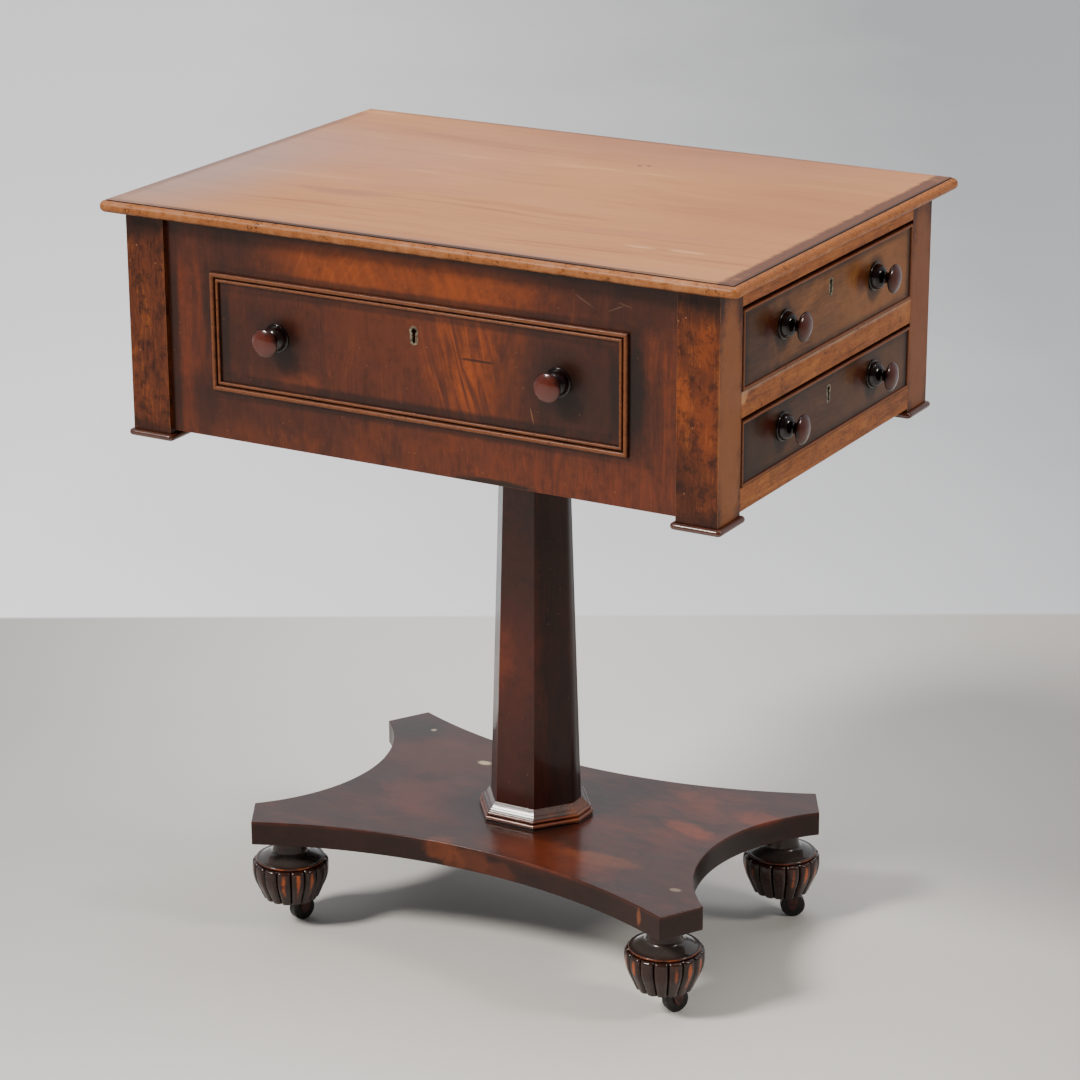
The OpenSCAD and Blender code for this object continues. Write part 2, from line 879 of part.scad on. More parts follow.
module drawer_front(height, side_height) {
    lock_top = front_bottom_gap + height;
    difference() {
        translate([0, 0, front_bottom_gap])
            rotate([90, 0, 90])
                rebated_board(height, front_thickness);
        for (sy = [-1, 1]) {
            through_side(sy > 0 ? side_in - joint_gap : -front_width / 2 - 1,
                sy > 0 ? front_width / 2 + 1 : -side_in + joint_gap)
                tails(0, side_height, -front_thickness - eps, dovetail_length + eps, joint_gap);
            translate([0, sy * drawer_knob_pitch / 2, front_bottom_gap + height / 2 + drawer_knob_rise])
                rotate([0, 90, 0])
                    knob_seat(front_thickness + 1);
        }
        block([-front_thickness - 1, -side_in + 1, bottom_height - joint_gap],
            [-front_thickness + groove_depth + joint_gap, side_in - 1, tail_floor + joint_gap]);
        translate([0, 0, lock_top - key_drop])
            rotate([90, 0, 90])
                escutcheon_seat(front_thickness);
        block([-front_thickness - 1, -lock_width / 2 - joint_gap, lock_top - lock_height - joint_gap],
            [-front_thickness + lock_depth + joint_gap, lock_width / 2 + joint_gap, lock_top + 1]);
    }
}

module drawer_side(side_height) {
    difference() {
        union() {
            translate([-drawer_length, side_in, 0])
                cube([drawer_length - front_thickness, side_thickness, side_height]);
            through_side(side_in, side_out)
                tails(0, side_height, -front_thickness - eps, dovetail_length + eps, 0);
        }
        translate([-drawer_length - 1, side_in - 1, bottom_height - joint_gap])
            cube([drawer_length - front_thickness + 1, groove_depth + 1, bottom_thickness + 2 * joint_gap]);
        through_side(side_in - 1, side_out + 1)
            pins(tail_floor, side_height - back_top_drop, joint_gap);
    }
}

module drawer_sides(height) {
    side_height = height + front_bottom_gap - side_top_drop;
    drawer_side(side_height);
    mirror([0, 1, 0])
        drawer_side(side_height);
}

module drawer_back(height) {
    high = height + front_bottom_gap - side_top_drop - back_top_drop;
    translate([-drawer_length, -side_in, tail_floor])
        cube([back_thickness, 2 * side_in, high - tail_floor]);
    through_side(-side_out, side_out)
        pins(tail_floor, high, 0);
}

module drawer_bottom() {
    translate([0, 0, bottom_height])
        linear_extrude(bottom_thickness)
            polygon([[-drawer_length, -side_in - groove_depth],
                [-front_thickness - joint_gap, -side_in - groove_depth],
                [-front_thickness - joint_gap, -side_in + 2], [-front_thickness + groove_depth, -side_in + 2],
                [-front_thickness + groove_depth, side_in - 2], [-front_thickness - joint_gap, side_in - 2],
                [-front_thickness - joint_gap, side_in + groove_depth],
                [-drawer_length, side_in + groove_depth]]);
}

module drawer_knobs(height) {
    for (sy = [-1, 1])
        translate([0, sy * drawer_knob_pitch / 2, front_bottom_gap + height / 2 + drawer_knob_rise])
            rotate([0, 90, 0])
                knob(front_thickness);
}

module drawer_escutcheon(height) {
    translate([0, 0, front_bottom_gap + height - key_drop])
        rotate([90, 0, 90])
            escutcheon();
}

lock_middle = -front_thickness + lock_depth / 2;
bolt_x = half_length - face_set + lock_middle;

// An open-backed case of sheet metal: a face, two ends, a bottom, and a top with the bolt's slot.
module drawer_lock(height) {
    top = front_bottom_gap + height;
    difference() {
        block([-front_thickness, -lock_width / 2, top - lock_height],
            [-front_thickness + lock_depth, lock_width / 2, top]);
        block([-front_thickness + lock_metal, -lock_width / 2 + lock_metal,
            top - lock_height + lock_metal],
            [-front_thickness + lock_depth + 1, lock_width / 2 - lock_metal, top - lock_metal]);
        block([lock_middle - bolt_thickness / 2 - bolt_gap, -bolt_width / 2 - bolt_gap, top - lock_metal - 1],
            [lock_middle + bolt_thickness / 2 + bolt_gap, bolt_width / 2 + bolt_gap, top + 1]);
    }
}

module drawer_bolt(height) {
    top = front_bottom_gap + height;
    block([lock_middle - bolt_thickness / 2, -bolt_width / 2, top - bolt_length],
        [lock_middle + bolt_thickness / 2, bolt_width / 2, top]);
}

module upper_front() {
    color("#5e3020")
        in_case(upper_floor)
            drawer_front(upper_front_height, upper_front_height + front_bottom_gap - side_top_drop);
}

module upper_cockbeads() {
    color("#4a2217")
        in_case(upper_floor + front_bottom_gap)
            rotate([90, 0, 90])
                cockbeads(upper_front_height);
}

module upper_sides() {
    color("#b08a5c")
        in_case(upper_floor)
            drawer_sides(upper_front_height);
}

module upper_back() {
    color("#b08a5c")
        in_case(upper_floor)
            drawer_back(upper_front_height);
}

module upper_bottom() {
    color("#b8935f")
        in_case(upper_floor)
            drawer_bottom();
}

module upper_knobs() {
    color("#2a1410")
        in_case(upper_floor)
            drawer_knobs(upper_front_height);
}

module upper_escutcheon() {
    color("#8d7b5a")
        in_case(upper_floor)
            drawer_escutcheon(upper_front_height);
}

module upper_lock() {
    color("#8d7b5a")
        in_case(upper_floor)
            drawer_lock(upper_front_height);
}

module upper_bolt() {
    color("#6f6a60")
        in_case(upper_floor)
            drawer_bolt(upper_front_height);
}

module lower_front() {
    color("#5e3020")
        in_case(lower_floor)
            drawer_front(lower_front_height, lower_front_height + front_bottom_gap - side_top_drop);
}

module lower_cockbeads() {
    color("#4a2217")
        in_case(lower_floor + front_bottom_gap)
            rotate([90, 0, 90])
                cockbeads(lower_front_height);
}

module lower_sides() {
    color("#b08a5c")
        in_case(lower_floor)
            drawer_sides(lower_front_height);
}

module lower_back() {
    color("#b08a5c")
        in_case(lower_floor)
            drawer_back(lower_front_height);
}

module lower_bottom() {
    color("#b8935f")
        in_case(lower_floor)
            drawer_bottom();
}

module lower_knobs() {
    color("#2a1410")
        in_case(lower_floor)
            drawer_knobs(lower_front_height);
}

module lower_escutcheon() {
    color("#8d7b5a")
        in_case(lower_floor)
            drawer_escutcheon(lower_front_height);
}

module lower_lock() {
    color("#8d7b5a")
        in_case(lower_floor)
            drawer_lock(lower_front_height);
}

module lower_bolt() {
    color("#6f6a60")
        in_case(lower_floor)
            drawer_bolt(lower_front_height);
}

// Pillar and plinth

// Eight flat faces that lean in from the foot to the head: four pairs of opposite faces,
// each pair drawn as one long wedge, and what they have in common.
module pillar_shaft() {
    foot = face_distances(foot_width, foot_depth, foot_slant);
    head = face_distances(head_width, head_depth, head_slant);
    intersection_for (i = [0:3])
        rotate([0, 0, face_angles()[i]])
            rotate([90, 0, 0])
                linear_extrude(2 * foot_width, center = true)
                    polygon([[-foot[i], plinth_top], [foot[i], plinth_top],
                        [head[i], bearer_under], [-head[i], bearer_under]]);
}

module pillar() {
    color("#3c1b14") {
        pillar_shaft();
        translate([0, 0, plinth_top - foot_tenon_length])
            cylinder(d = pillar_tenon, h = foot_tenon_length + 1);
        translate([0, 0, bearer_under - 1])
            cylinder(d = pillar_tenon, h = bearer_thickness + 1);
    }
}

// Profile of the foot moulding: two beads under a hollow. x runs out from the pillar.
module foot_profile() {
    hollow = foot_moulding_height - lower_bead - upper_bead - 2;
    neck = foot_moulding_out - 3;
    square([foot_moulding_out, 1.4]);
    translate([-2, 0])
        square([2 + eps, foot_moulding_height]);
    square([foot_moulding_out - lower_bead / 2, lower_bead + upper_bead + 1.4]);
    translate([foot_moulding_out - lower_bead / 2, 1 + lower_bead / 2])
        circle(d = lower_bead);
    translate([neck + 0.9 - upper_bead / 2 + 0.6, 1.4 + lower_bead + upper_bead / 2])
        circle(d = upper_bead);
    difference() {
        square([neck, foot_moulding_height]);
        translate([neck + 0.6, foot_moulding_height + 0.6])
            circle(min(hollow, neck) - 0.6);
    }
}

// Eight mitred lengths, scribed to the leaning faces of the pillar.
module pillar_moulding() {
    angles = face_angles();
    foot = face_distances(foot_width, foot_depth, foot_slant);
    inner = octagon([for (d = foot) d - 2]);
    outer = octagon([for (d = foot) d + foot_moulding_out]);
    color("#46211a")
        difference() {
            for (i = [0:7]) {
                last = (i + 7) % 8;
                translate([0, 0, plinth_top])
                    rotate([0, 0, angles[i]])
                        intersection() {
                            translate([foot[i], 0, 0])
                                rotate([90, 0, 0])
                                    linear_extrude(2 * foot_width, center = true)
                                        foot_profile();
                            linear_extrude(foot_moulding_height)
                                polygon([[foot[i] - 2, along(inner[last], angles[i]) + mitre_gap],
                                    [foot[i] + foot_moulding_out, along(outer[last], angles[i]) + mitre_gap],
                                    [foot[i] + foot_moulding_out, along(outer[i], angles[i]) - mitre_gap],
                                    [foot[i] - 2, along(inner[i], angles[i]) - mitre_gap]]);
                        }
            }
            pillar_shaft();
        }
}

function arc_radius(half_chord, sag) = (half_chord * half_chord + sag * sag) / (2 * sag);

module plinth() {
    cut_x = half_plinth_x - arm_cut_x;
    cut_y = half_plinth_y - arm_cut_y;
    long_radius = arc_radius(cut_x, long_hollow);
    end_radius = arc_radius(cut_y, end_hollow);
    color("#4a231b")
        difference() {
            translate([0, 0, plinth_under])
                linear_extrude(plinth_thickness)
                    polygon([[-cut_x, -half_plinth_y], [cut_x, -half_plinth_y],
                        [half_plinth_x, -cut_y], [half_plinth_x, cut_y],
                        [cut_x, half_plinth_y], [-cut_x, half_plinth_y],
                        [-half_plinth_x, cut_y], [-half_plinth_x, -cut_y]]);
            for (side = [-1, 1]) {
                translate([0, side * (half_plinth_y - long_hollow + long_radius), plinth_under - 1])
                    cylinder(r = long_radius, h = plinth_thickness + 2, $fn = 240);
                translate([side * (half_plinth_x - end_hollow + end_radius), 0, plinth_under - 1])
                    cylinder(r = end_radius, h = plinth_thickness + 2, $fn = 120);
            }
            translate([0, 0, plinth_top - foot_tenon_length - joint_gap])
                cylinder(d = pillar_tenon + 2 * joint_gap, h = foot_tenon_length + 1);
            for (foot = FEET)
                translate([foot[0] * foot_pitch_x / 2, foot[1] * foot_pitch_y / 2, plinth_under - 1])
                    cylinder(d = dowel_diameter + 2 * joint_gap, h = dowel_length + joint_gap + 1);
        }
}

// Feet

// Section of the groove between two reeds: a cusp, so that each reed keeps a round flank.
module reed_section() {
    round = (reed_depth * reed_depth + reed_flank * reed_flank) / (2 * reed_depth);
    difference() {
        translate([bun_radius - reed_depth - 1, -reed_flank])
            square([reed_depth + 2, 2 * reed_flank]);
        for (side = [-1, 1])
            translate([bun_radius - round, side * reed_flank])
                circle(round);
    }
}

// The groove, swept round the ball from above the reeds and then straight down the taper.
module reed_groove() {
    top = asin((reed_top - bun_middle + 0.5) / (bun_radius - reed_depth));
    translate([0, 0, bun_middle])
        rotate([90, 0, 0])
            rotate([0, 0, -taper_angle]) {
                rotate_extrude(angle = taper_angle + top, $fn = 96)
                    reed_section();
                rotate([90, 0, 0])
                    linear_extrude(bun_taper_height / cos(taper_angle) + 3)
                        reed_section();
            }
}

// Half of a bun's section up to the reeds' tops: a straight taper that runs into a ball, and
// a rounded top.
module bun_section() {
    taper_top = bun_radius * cos(taper_angle) - taper_lap;
    edge = ball_radius(reed_top - reed_round);
    polygon([[0, 0], [taper_top - bun_taper_height * tan(taper_angle), 0],
        [taper_top, bun_taper_height], [0, bun_taper_height]]);
    intersection() {
        translate([0, bun_middle])
            circle(bun_radius, $fn = 96);
        translate([0, bun_taper_height - 5])
            square([bun_radius, reed_top - reed_round - bun_taper_height + 5]);
    }
    translate([0, bun_middle])
        square([edge - reed_round, reed_top - bun_middle]);
    intersection() {
        translate([edge - reed_round, reed_top - reed_round])
            circle(reed_round);
        translate([0, reed_top - reed_round - eps])
            square([bun_radius, reed_round + eps]);
    }
}

// Half of the section over the reeds: the arris bead, the shoulder, the neck and the dowel.
module shoulder_section() {
    bead = arris_bead / 2;
    half = arris_diameter / 2 - bead;
    base = reed_top + arris_quirk + bead;
    dome = arc_radius(half, shoulder_rise);
    translate([0, reed_top - 1])
        square([half, arris_quirk + bead + 1]);
    translate([half, base])
        circle(bead);
    intersection() {
        translate([0, base + shoulder_rise - dome])
            circle(dome, $fn = 96);
        translate([0, base - eps])
            square([half, shoulder_rise + 1]);
    }
    square([neck_diameter / 2, bun_height]);
    translate([0, bun_height - 3])
        square([neck_diameter / 2 + 2, 3]);
    square([dowel_diameter / 2, bun_height + dowel_length]);
}

module bun_foot() {
    difference() {
        rotate_extrude($fn = 96)
            bun_section();
        for (i = [0:reeds - 1])
            rotate([0, 0, 360 * (i + 0.5) / reeds])
                reed_groove();
    }
    rotate_extrude($fn = 72)
        shoulder_section();
}

module bun_feet() {
    color("#241410")
        for (foot = FEET)
            translate([foot[0] * foot_pitch_x / 2, foot[1] * foot_pitch_y / 2, bun_under])
                bun_foot();
}

// Castors. Each is drawn with its pintle on the Z axis and its wheel behind it at +X.

module at_foot(i) {
    translate([FEET[i][0] * foot_pitch_x / 2, FEET[i][1] * foot_pitch_y / 2, 0])
        rotate([0, 0, castor_angles[i]])
            children();
}

module castor_plate() {
    translate([0, 0, crown_top])
        cylinder(d = plate_diameter, h = plate_thickness);
    translate([0, 0, crown_under])
        cylinder(d = pintle_diameter, h = crown_thickness + 1);
    translate([0, 0, crown_under - rivet_thickness])
        cylinder(d = rivet_diameter, h = rivet_thickness);
}

module castor_plates() {
    color("#7a6240")
        for (i = [0:3])
            at_foot(i)
                castor_plate();
}

// Crown, two cheeks that sweep back to the axle, and the riveted axle.
module horn() {
    difference() {
        union() {
            translate([0, 0, crown_under])
                linear_extrude(crown_thickness) {
                    circle(cheek_out);
                    translate([0, -cheek_out])
                        square([castor_trail, 2 * cheek_out]);
                    translate([castor_trail, 0])
                        circle(cheek_out);
                }
            for (side = [-1, 1])
                translate([0, side > 0 ? cheek_out : -cheek_in, 0])
                    rotate([90, 0, 0])
                        linear_extrude(cheek_thickness)
                            cheek_outline();
        }
        translate([0, 0, crown_under - 1])
            cylinder(d = pintle_diameter + 2 * pin_gap, h = crown_thickness + 2);
    }
    translate([castor_trail, cheek_out, axle_height])
        rotate([90, 0, 0])
            cylinder(d = axle_diameter, h = 2 * cheek_out);
}

// A cheek from the side: an eye round the axle under a web that widens to the crown.
module cheek_outline() {
    translate([castor_trail, axle_height])
        circle(eye_radius);
    polygon([[castor_trail - eye_radius, axle_height], [castor_trail + eye_radius, axle_height],
        [castor_trail + cheek_out - 1, crown_under + eps],
        [castor_trail - cheek_out - 1, crown_under + eps]]);
}

module horn_at(i) {
    color("#6a4030")
        at_foot(i)
            horn();
}

module wheel_at(i) {
    tread = 1.5;
    color("#1e1512")
        at_foot(i)
            translate([castor_trail, 0, axle_height])
                rotate([90, 0, 0])
                    rotate_extrude($fn = 64)
                        difference() {
                            union() {
                                translate([0, -wheel_width / 2])
                                    square([wheel_diameter / 2 - tread, wheel_width]);
                                translate([0, -wheel_width / 2 + tread])
                                    square([wheel_diameter / 2, wheel_width - 2 * tread]);
                                for (side = [-1, 1])
                                    translate([wheel_diameter / 2 - tread, side * (wheel_width / 2 - tread)])
                                        circle(tread);
                            }
                            translate([0, -wheel_width])
                                square([axle_diameter / 2 + pin_gap, 2 * wheel_width]);
                        }
}

module horn_fl() { horn_at(0); }
module horn_fr() { horn_at(1); }
module horn_rr() { horn_at(2); }
module horn_rl() { horn_at(3); }
module wheel_fl() { wheel_at(0); }
module wheel_fr() { wheel_at(1); }
module wheel_rr() { wheel_at(2); }
module wheel_rl() { wheel_at(3); }

top_board();
corner_posts();
post_pads();
front_panel();
rear_panel();
front_moulding();
rear_moulding();
top_rail();
middle_rail();
bottom_rail();
far_end_panel();
sham_fronts();
sham_cockbeads();
case_knobs();
case_escutcheons();
upper_runners();
lower_runners();
drawer_guides();
kickers();
drawer_stops();
bearer();
pillar();
pillar_moulding();
plinth();
bun_feet();
castor_plates();
upper_front();
upper_cockbeads();
upper_sides();
upper_back();
upper_bottom();
upper_knobs();
upper_escutcheon();
upper_lock();
upper_bolt();
lower_front();
lower_cockbeads();
lower_sides();
lower_back();
lower_bottom();
lower_knobs();
lower_escutcheon();
lower_lock();
lower_bolt();
horn_fl();
horn_fr();
horn_rr();
horn_rl();
wheel_fl();
wheel_fr();
wheel_rr();
wheel_rl();
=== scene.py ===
"""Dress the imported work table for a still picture.

Every size is in millimetres and every place is in the row frame: the origin is on the floor
under the pillar, X runs along the table to the drawer end, Y away from the sham front, Z up.
"""

import logging
import math
import random
from collections.abc import Callable, Sequence
from dataclasses import dataclass
from enum import Enum
from functools import cached_property

import bmesh
import bpy
import numpy as np
from mathutils import Matrix, Vector


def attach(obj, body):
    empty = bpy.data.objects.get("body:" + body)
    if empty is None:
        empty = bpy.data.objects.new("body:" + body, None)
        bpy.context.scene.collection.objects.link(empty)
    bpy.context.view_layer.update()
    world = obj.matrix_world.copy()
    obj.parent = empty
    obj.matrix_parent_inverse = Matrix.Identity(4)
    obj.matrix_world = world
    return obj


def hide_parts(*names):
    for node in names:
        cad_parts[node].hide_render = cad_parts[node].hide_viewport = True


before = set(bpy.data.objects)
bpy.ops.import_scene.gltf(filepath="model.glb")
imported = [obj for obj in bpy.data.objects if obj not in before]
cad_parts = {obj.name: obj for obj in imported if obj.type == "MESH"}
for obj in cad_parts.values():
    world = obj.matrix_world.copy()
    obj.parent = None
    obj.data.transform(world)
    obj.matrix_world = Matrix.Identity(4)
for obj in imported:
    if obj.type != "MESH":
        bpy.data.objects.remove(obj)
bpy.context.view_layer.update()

LOG = logging.getLogger("work_table")
MM = 0.001

Pair = tuple[float, float]
Point = tuple[float, float, float]
Socket = bpy.types.NodeSocket
Material = bpy.types.Material

# Settings of nodes that many finishes use.
COLOUR = {"data_type": "RGBA"}
TIMES = {"operation": "MULTIPLY"}
PLUS = {"operation": "MULTIPLY_ADD"}
TAKE = {"operation": "SUBTRACT"}
DOT = {"operation": "DOT_PRODUCT"}
MOST = {"operation": "MAXIMUM"}
SOFT_STEP = {"interpolation_type": "SMOOTHSTEP"}


def linear(colour: str) -> tuple[float, float, float, float]:
    """Turn an sRGB hex colour into the linear one that shaders take.

    Args:
        colour: Six hex digits after a hash sign.

    Returns:
        Red, green, blue and an alpha of one.
    """
    parts = [int(colour[i : i + 2], 16) / 255 for i in (1, 3, 5)]
    flat = [p / 12.92 if p <= 0.04045 else ((p + 0.055) / 1.055) ** 2.4 for p in parts]
    return (flat[0], flat[1], flat[2], 1.0)


class Sheet:
    """The nodes of one finish, with the coordinates and the noise that its layers share."""

    def __init__(self, tree: bpy.types.NodeTree, place: str = "Object") -> None:
        """Empty a tree and start it with coordinates.

        Args:
            tree: The tree of a material or a world.
            place: Name of the kind of coordinates.
        """
        self.tree = tree
        tree.nodes.clear()
        self.place = self.add("TexCoord", out=place)

    def add(
        self,
        kind: str,
        settings: dict[str, object] | None = None,
        inputs: dict[int | str, object] | None = None,
        out: int | str = 0,
    ) -> Socket | None:
        """Add a shader node, set it up and link it.

        Args:
            kind: Blender's name of the node after its ShaderNode prefix.
            settings: Values of the node's own properties.
            inputs: A value or another node's output, by the input's name or index.
            out: Name or index of the wanted output.

        Returns:
            That output, or None where the node has none.
        """
        node = self.tree.nodes.new("ShaderNode" + kind)
        for name, value in (settings or {}).items():
            setattr(node, name, value)
        for key, value in (inputs or {}).items():
            if isinstance(value, Socket):
                self.tree.links.new(value, node.inputs[key])
            else:
                node.inputs[key].default_value = value
        return node.outputs[out] if node.outputs else None

    @cached_property
    def uneven(self) -> Socket:
        """Noise about zero, with features of 12 mm and finer, that frays marks and wear."""
        noise = {"Vector": self.place, "Scale": 1 / (12 * MM), "Detail": 4.0, "Roughness": 0.65}
        return self.add("Math", TAKE, {0: self.add("TexNoise", None, noise), 1: 0.5})

    def stained(self, colour: object, tint: str, mask: object) -> Socket:
        """Lay a tint over a colour where the mask says."""
        return self.add("Mix", COLOUR, {0: mask, 6: colour, 7: linear(tint)}, 2)


def blank_material(name: str) -> tuple[Material, Sheet]:
    """Make a material that has no nodes but its coordinates.

    Args:
        name: Its name.

    Returns:
        The material and its nodes.
    """
    made = bpy.data.materials.new(name)
    made.use_nodes = True
    return made, Sheet(made.node_tree)


class Axis(Enum):
    """An axis of the table: the one a board's fibres run along, or the one a face looks along."""

    X = 0
    Y = 1
    Z = 2

    def stretched(self, width: float, length: float) -> Point:
        """Scale that makes a unit of noise so wide across and so long along the fibres.

        Args:
            width: Size across the fibres.
            length: Size along the fibres.

        Returns:
            Factors for object coordinates in metres.
        """
        sizes = [length if axis == self.value else width for axis in range(3)]
        return (1 / (MM * sizes[0]), 1 / (MM * sizes[1]), 1 / (MM * sizes[2]))


class Outline(Enum):
    """Outline of a mark."""

    ROUND = "round"
    BAND = "band"


@dataclass(frozen=True)
class Mark:
    """A soft-edged place with a tint of its own, such as grime, wear, a stain, painted shade or a painted
    reflection.

    It may be turned about its middle by degrees round X, Y and Z, as a scratch is.
    """

    centre: Point
    reach: Point
    tint: str
    strength: float = 1.0
    ragged: float = 0.35
    edge: float = 0.7
    outline: Outline = Outline.ROUND
    turn: Point = (0.0, 0.0, 0.0)

    def mask(self, sheet: Sheet) -> Socket:
        """Build the mark's mask.

        Args:
            sheet: The finish's nodes.

        Returns:
            The mark's strength at each point.
        """
        centre = tuple(c * MM for c in self.centre)
        spread = tuple(1 / (MM * r) for r in self.reach)
        local = sheet.add("VectorMath", TAKE, {0: sheet.place, 1: centre})
        if any(self.turn):
            angles = tuple(math.radians(a) for a in self.turn)
            local = sheet.add("Mapping", None, {"Vector": local, "Rotation": angles})
        local = sheet.add("VectorMath", TIMES, {0: local, 1: spread})
        if self.outline is Outline.ROUND:
            away = sheet.add("VectorMath", {"operation": "LENGTH"}, {0: local}, "Value")
        else:
            sides = sheet.add("VectorMath", {"operation": "ABSOLUTE"}, {0: local})
            split = sheet.add("SeparateXYZ", None, {0: sides}).node.outputs
            widest = sheet.add("Math", MOST, {0: split[0], 1: split[1]})
            away = sheet.add("Math", MOST, {0: widest, 1: split[2]})
        frayed = sheet.add("Math", PLUS, {0: sheet.uneven, 1: 2 * self.ragged, 2: away})
        inner = 1 - self.edge + self.ragged
        levels = {0: frayed, 1: 1 + self.ragged, 2: inner, 3: 0.0, 4: self.strength}
        return sheet.add("MapRange", SOFT_STEP, levels)


def marks_on(
    axis: Axis,
    level: float,
    depth: float,
    rows: Sequence[Sequence[float | str]],
    ragged: float = 0.35,
    edge: float = 0.7,
    outline: Outline = Outline.ROUND,
) -> list[Mark]:
    """Make the marks of one face that differ only in place, size and tint.

    Args:
        axis: Axis that the face looks along.
        level: Where the face lies on it.
        depth: How deep the marks reach into the face.
        rows: Place, reaches, tint, strength and, if it leans, the lean in degrees of each mark.
        ragged: How frayed they are.
        edge: Share of their reach over which they fade.
        outline: Their outline.

    Returns:
        The marks, in the order of the rows.
    """
    made = []
    for a, b, wide, high, tint, strength, *lean in rows:
        centre, reach, turn = [a, b], [wide, high], [0.0, 0.0]
        for values, value in ((centre, level), (reach, depth), (turn, lean[0] if lean else 0.0)):
            values.insert(axis.value, value)
        made.append(Mark(tuple(centre), tuple(reach), tint, strength, ragged, edge, outline, tuple(turn)))
    return made


@dataclass(frozen=True)
class Figure:
    """A figure of the grain that shows inside a mark."""

    area: Mark

    @property
    def tint(self) -> str:
        """Tint of the area that it fills."""
        return self.area.tint

    def mask(self, sheet: Sheet) -> Socket:
        """The figure's strength at each point: its lines, kept inside its area."""
        return sheet.add("Math", TIMES, {0: self.lines(sheet), 1: self.area.mask(sheet)})


@dataclass(frozen=True)
class Flame(Figure):
    """Soft bright stripes of a crotch figure."""

    stripe: float
    length: float
    lean: float
    low: float = 0.34
    high: float = 0.7

    def lines(self, sheet: Sheet) -> Socket:
        """Build the stripes.

        Args:
            sheet: The finish's nodes.

        Returns:
            One on a stripe, falling to zero beside it.
        """
        angles = (0.0, math.radians(self.lean), 0.0)
        leaning = sheet.add("Mapping", None, {"Vector": sheet.place, "Rotation": angles})
        local = sheet.add("VectorMath", TIMES, {0: leaning, 1: Axis.Z.stretched(self.stripe, self.length)})
        wave = {"Vector": local, "Scale": 1.0, "Detail": 2.0, "Roughness": 0.6, "Distortion": 0.9}
        stripes = sheet.add("TexNoise", None, wave)
        return sheet.add("MapRange", SOFT_STEP, {0: stripes, 1: self.low, 2: self.high})


@dataclass(frozen=True)
class Feather(Figure):
    """Thin nested curves of a crotch figure, drawn round a centre."""

    centre: Point
    spacing: float
    share: float = 0.3
    waver: float = 3.0

    def lines(self, sheet: Sheet) -> Socket:
        """Build the curves.

        Args:
            sheet: The finish's nodes.

        Returns:
            One on a curve, falling to zero beside it.
        """
        centre = tuple(c * MM for c in self.centre)
        local = sheet.add("VectorMath", TAKE, {0: sheet.place, 1: centre})
        kind = {"wave_type": "RINGS", "rings_direction": "SPHERICAL", "wave_profile": "SIN"}
        # The node draws twenty radians of its wave in each unit.
        scale = 2 * math.pi / (20 * self.spacing * MM)
        wave = {"Vector": local, "Scale": scale, "Distortion": self.waver, "Detail": 2.0, "Detail Scale": 0.7}
        rings = sheet.add("TexWave", kind, wave, "Fac")
        return sheet.add("MapRange", SOFT_STEP, {0: rings, 1: 1 - self.share, 2: 1.0})


